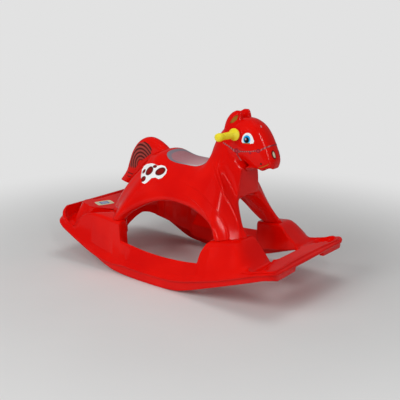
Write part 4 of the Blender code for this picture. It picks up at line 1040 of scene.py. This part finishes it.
def eased(grid):
    """More rows round the ring, on smooth curves that never pass their end points."""
    count = len(grid)
    result = []
    for i in range(count):
        before, start, stop, after = (grid[(i + k) % count] for k in (-1, 0, 1, 2))
        for part in range(EASED_PARTS):
            t = part / EASED_PARTS
            row = []
            for a, b, c, d in zip(before, start, stop, after):
                gaps = [max((q - p).length, 1e-6) for p, q in ((a, b), (b, c), (c, d))]
                point = []
                for k in range(3):
                    slopes = [(q[k] - p[k]) / g for p, q, g in zip((a, b, c), (b, c, d), gaps)]
                    ends = [2 * m * n / (m + n) if m * n > 0 else 0.0
                            for m, n in zip(slopes, slopes[1:])]
                    point.append((1 + 2 * t) * (1 - t) ** 2 * b[k] + t * t * (3 - 2 * t) * c[k]
                                 + gaps[1] * (t * (1 - t) ** 2 * ends[0]
                                              - t * t * (1 - t) * ends[1]))
                row.append(Vector(point))
            result.append(row)
    return result


def fine_base(look):
    """The base as a closed ring of sections, with the wall's inner side behind its outer one."""
    half = []
    for outer, inner, rows in base_stations():
        inward = (inner - outer).normalized()
        half.append([Vector((*(outer + inward * reach), height)) for reach, height in rows])
    mirrored = [[sided(p, -1) for p in row] for row in half[1:-1]]
    grid = eased(half + mirrored[::-1])
    count = len(grid)
    loops = []
    for i, row in enumerate(grid):
        before, after = grid[i - 1], grid[(i + 1) % count]
        moved = []
        for j in range(WALL_FIRST_ROW, len(row)):
            along = after[j] - before[j]
            across = row[min(j + 1, len(row) - 1)] - row[j - 1]
            moved.append(row[j] - along.cross(across).normalized() * WALL)
        loops.append(row + moved[::-1])
    shape = bmesh.new()
    size = len(loops[0])
    points = [[shape.verts.new((p.x + SHIFT, p.y, max(p.z, 0.0))) for p in loop] for loop in loops]
    for i in range(count):
        low, high = points[i], points[(i + 1) % count]
        for j in range(size):
            k = (j + 1) % size
            shape.faces.new((low[j], high[j], high[k], low[k]))
    bmesh.ops.recalc_face_normals(shape, faces=shape.faces)
    thing = piece("rocker_base_fine", shape, look, 30)
    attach(thing, "root")
    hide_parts("rocker_base")


def smooth_skin(node, angle):
    """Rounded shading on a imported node: its corners stay sharp above the angle."""
    thing = nodes[node]
    mesh = thing.data
    custom = mesh.attributes.get("custom_normal")
    if custom:
        mesh.attributes.remove(custom)
    mesh.shade_smooth()
    weld = thing.modifiers.new("weld", "WELD")
    weld.merge_threshold = 0.00002
    split = thing.modifiers.new("corners", "EDGE_SPLIT")
    split.split_angle = math.radians(angle)


# Studio: backdrop, light of the world, and the distances over which the floor fades
BACKDROP = rgb(226, 226, 226)
WORLD_COLOUR, WORLD_STRENGTH = (0.86, 0.87, 0.88, 1.0), 0.28
FLOOR_HALF, FLOOR_DROP = 12.0, 0.0004
FADE_START, FADE_STOP = 0.55, 1.5
# Lamps: name, place, aim, size, power and whether gloss shows it
LAMPS = (
    ("key", (-0.9, -3.0, 2.2), (0.0, 0.0, 0.25), (2.2, 2.0), 58.0, False),
    ("top", (0.2, 0.3, 3.2), (0.0, 0.0, 0.25), (1.6, 1.6), 19.0, False),
    ("strip", (2.25, -1.75, 1.55), (0.1, 0.0, 0.25), (0.12, 2.2), 22.0, True),
)
# The photograph's camera: place, azimuth, elevation and lens
CAMERA_PLACE = (1.4425, -1.776, 0.867)
AZIMUTH, ELEVATION = math.radians(38.526), math.radians(15.7)
LENS, SENSOR = 66.6, 36.0


def soft_light(name, place, aim, size, power, glossy):
    data = bpy.data.lights.new(name, "AREA")
    data.shape = "RECTANGLE"
    data.size, data.size_y = size
    data.energy = power
    lamp = placed(name, data)
    lamp.location = place
    direction = Vector(aim) - Vector(place)
    lamp.rotation_euler = direction.to_track_quat("-Z", "Y").to_euler()
    lamp.visible_glossy = glossy


def behind(tree, usual, plain, output, share):
    """Shows the camera the plain backdrop in place of the usual shader, by a share."""
    plain.inputs["Color"].default_value = BACKDROP
    choice = tree.nodes.new("ShaderNodeMixShader")
    for source, socket in zip((share, usual.outputs[0], plain.outputs[0]), choice.inputs):
        tree.links.new(source, socket)
    tree.links.new(choice.outputs[0], tree.nodes[output].inputs[0])


def floor():
    """A pale floor that far from the horse turns into the plain backdrop."""
    mesh = bpy.data.meshes.new("floor")
    corners = [(x * FLOOR_HALF, y * FLOOR_HALF, 0.0) for x, y in ((-1, -1), (1, -1), (1, 1), (-1, 1))]
    mesh.from_pydata(corners, [], [(0, 1, 2, 3)])
    thing = placed("floor", mesh)
    thing.location.z = -FLOOR_DROP
    s = Shade("floor_looks", specular=0.2)
    mesh.materials.append(s.finish(s.mix(s.noise(3.0), (222, 222, 221), (228, 228, 227)), 0.75))
    away = s.step(s.oval(s.x, s.y, 0.0, 0.0, 1.0, 1.0), FADE_START, FADE_STOP)
    share = s.times(away, s.node("LightPath").outputs["Is Camera Ray"])
    behind(s.tree, s.shader, s.node("Emission"), "Material Output", share)


def world():
    """Soft light from all round, behind a backdrop that only the camera sees."""
    sky = bpy.data.worlds.new("studio")
    sky.use_nodes = True
    tree = sky.node_tree
    ground = tree.nodes["Background"]
    ground.inputs["Color"].default_value = WORLD_COLOUR
    ground.inputs["Strength"].default_value = WORLD_STRENGTH
    seen = tree.nodes.new("ShaderNodeBackground")
    path = tree.nodes.new("ShaderNodeLightPath")
    behind(tree, ground, seen, "World Output", path.outputs["Is Camera Ray"])
    bpy.context.scene.world = sky


def camera():
    data = bpy.data.cameras.new("camera")
    data.lens, data.sensor_width = LENS, SENSOR
    data.clip_start, data.clip_end = 0.1, 60.0
    thing = placed("camera", data)
    level = math.cos(ELEVATION)
    ahead = Vector((-math.sin(AZIMUTH) * level, math.cos(AZIMUTH) * level, -math.sin(ELEVATION)))
    thing.location = CAMERA_PLACE
    thing.rotation_mode = "QUATERNION"
    thing.rotation_quaternion = ahead.to_track_quat("-Z", "Y")
    bpy.context.scene.camera = thing


yellow = yellow_plastic()
steel = zinc_steel()
fine_base(red_plastic("red_plastic_looks", BASE_EDGE))
skin = fine_body(red_plastic("red_body_looks", BODY_EDGE, body=True))
for side in ("left", "right"):
    dress("handle_" + side, yellow)
    smooth_skin("handle_" + side, 40)
for end in ("fr", "fl", "rr", "rl"):
    dress("leg_screw_" + end, steel)
    dress("washer_" + end, steel)
for stem, colour_of, slot_name in (
        ("eye_film", eye_colour, "eye_print"), ("haunch_patch", patch_colour, "patch_print"),
        ("ear_film", ear_colour, "ochre_print"), ("tail_film", tail_colour, "tail_print"),
        ("bridle_film", bridle_colour, "bridle_print"),
        ("strap_film", bridle_colour, "bridle_print"),
        ("mouth_film", plain((176, 84, 20), (206, 110, 34)), "ochre_print"),
        ("cheek_dot", plain((58, 26, 16), (80, 40, 26)), "brown_print")):
    look = film(stem + "_looks", colour_of)
    for side in ("left", "right"):
        seated(stem + "_" + side, skin, look)
# The far nostril sits further round the muzzle, out of the photograph's sight
cream = film("nostril_film_looks", cream_colour)
for side, shift in (("left", 0.011), ("right", 0.001)):
    seated("nostril_film_" + side, skin, cream, (1.0, 0.85), shift)
seated("saddle_film", skin, film("saddle_film_looks", saddle_colour), (1.11, 1.06))
look = film("forehead_dot_looks", plain((176, 140, 140), (204, 176, 174)))
seated("forehead_dot", skin, look)
dress("rear_label", film("rear_label_looks", label_colour))

floor()
world()
for lamp in LAMPS:
    soft_light(*lamp)
camera()

bpy.context.scene.view_settings.view_transform = "Standard"
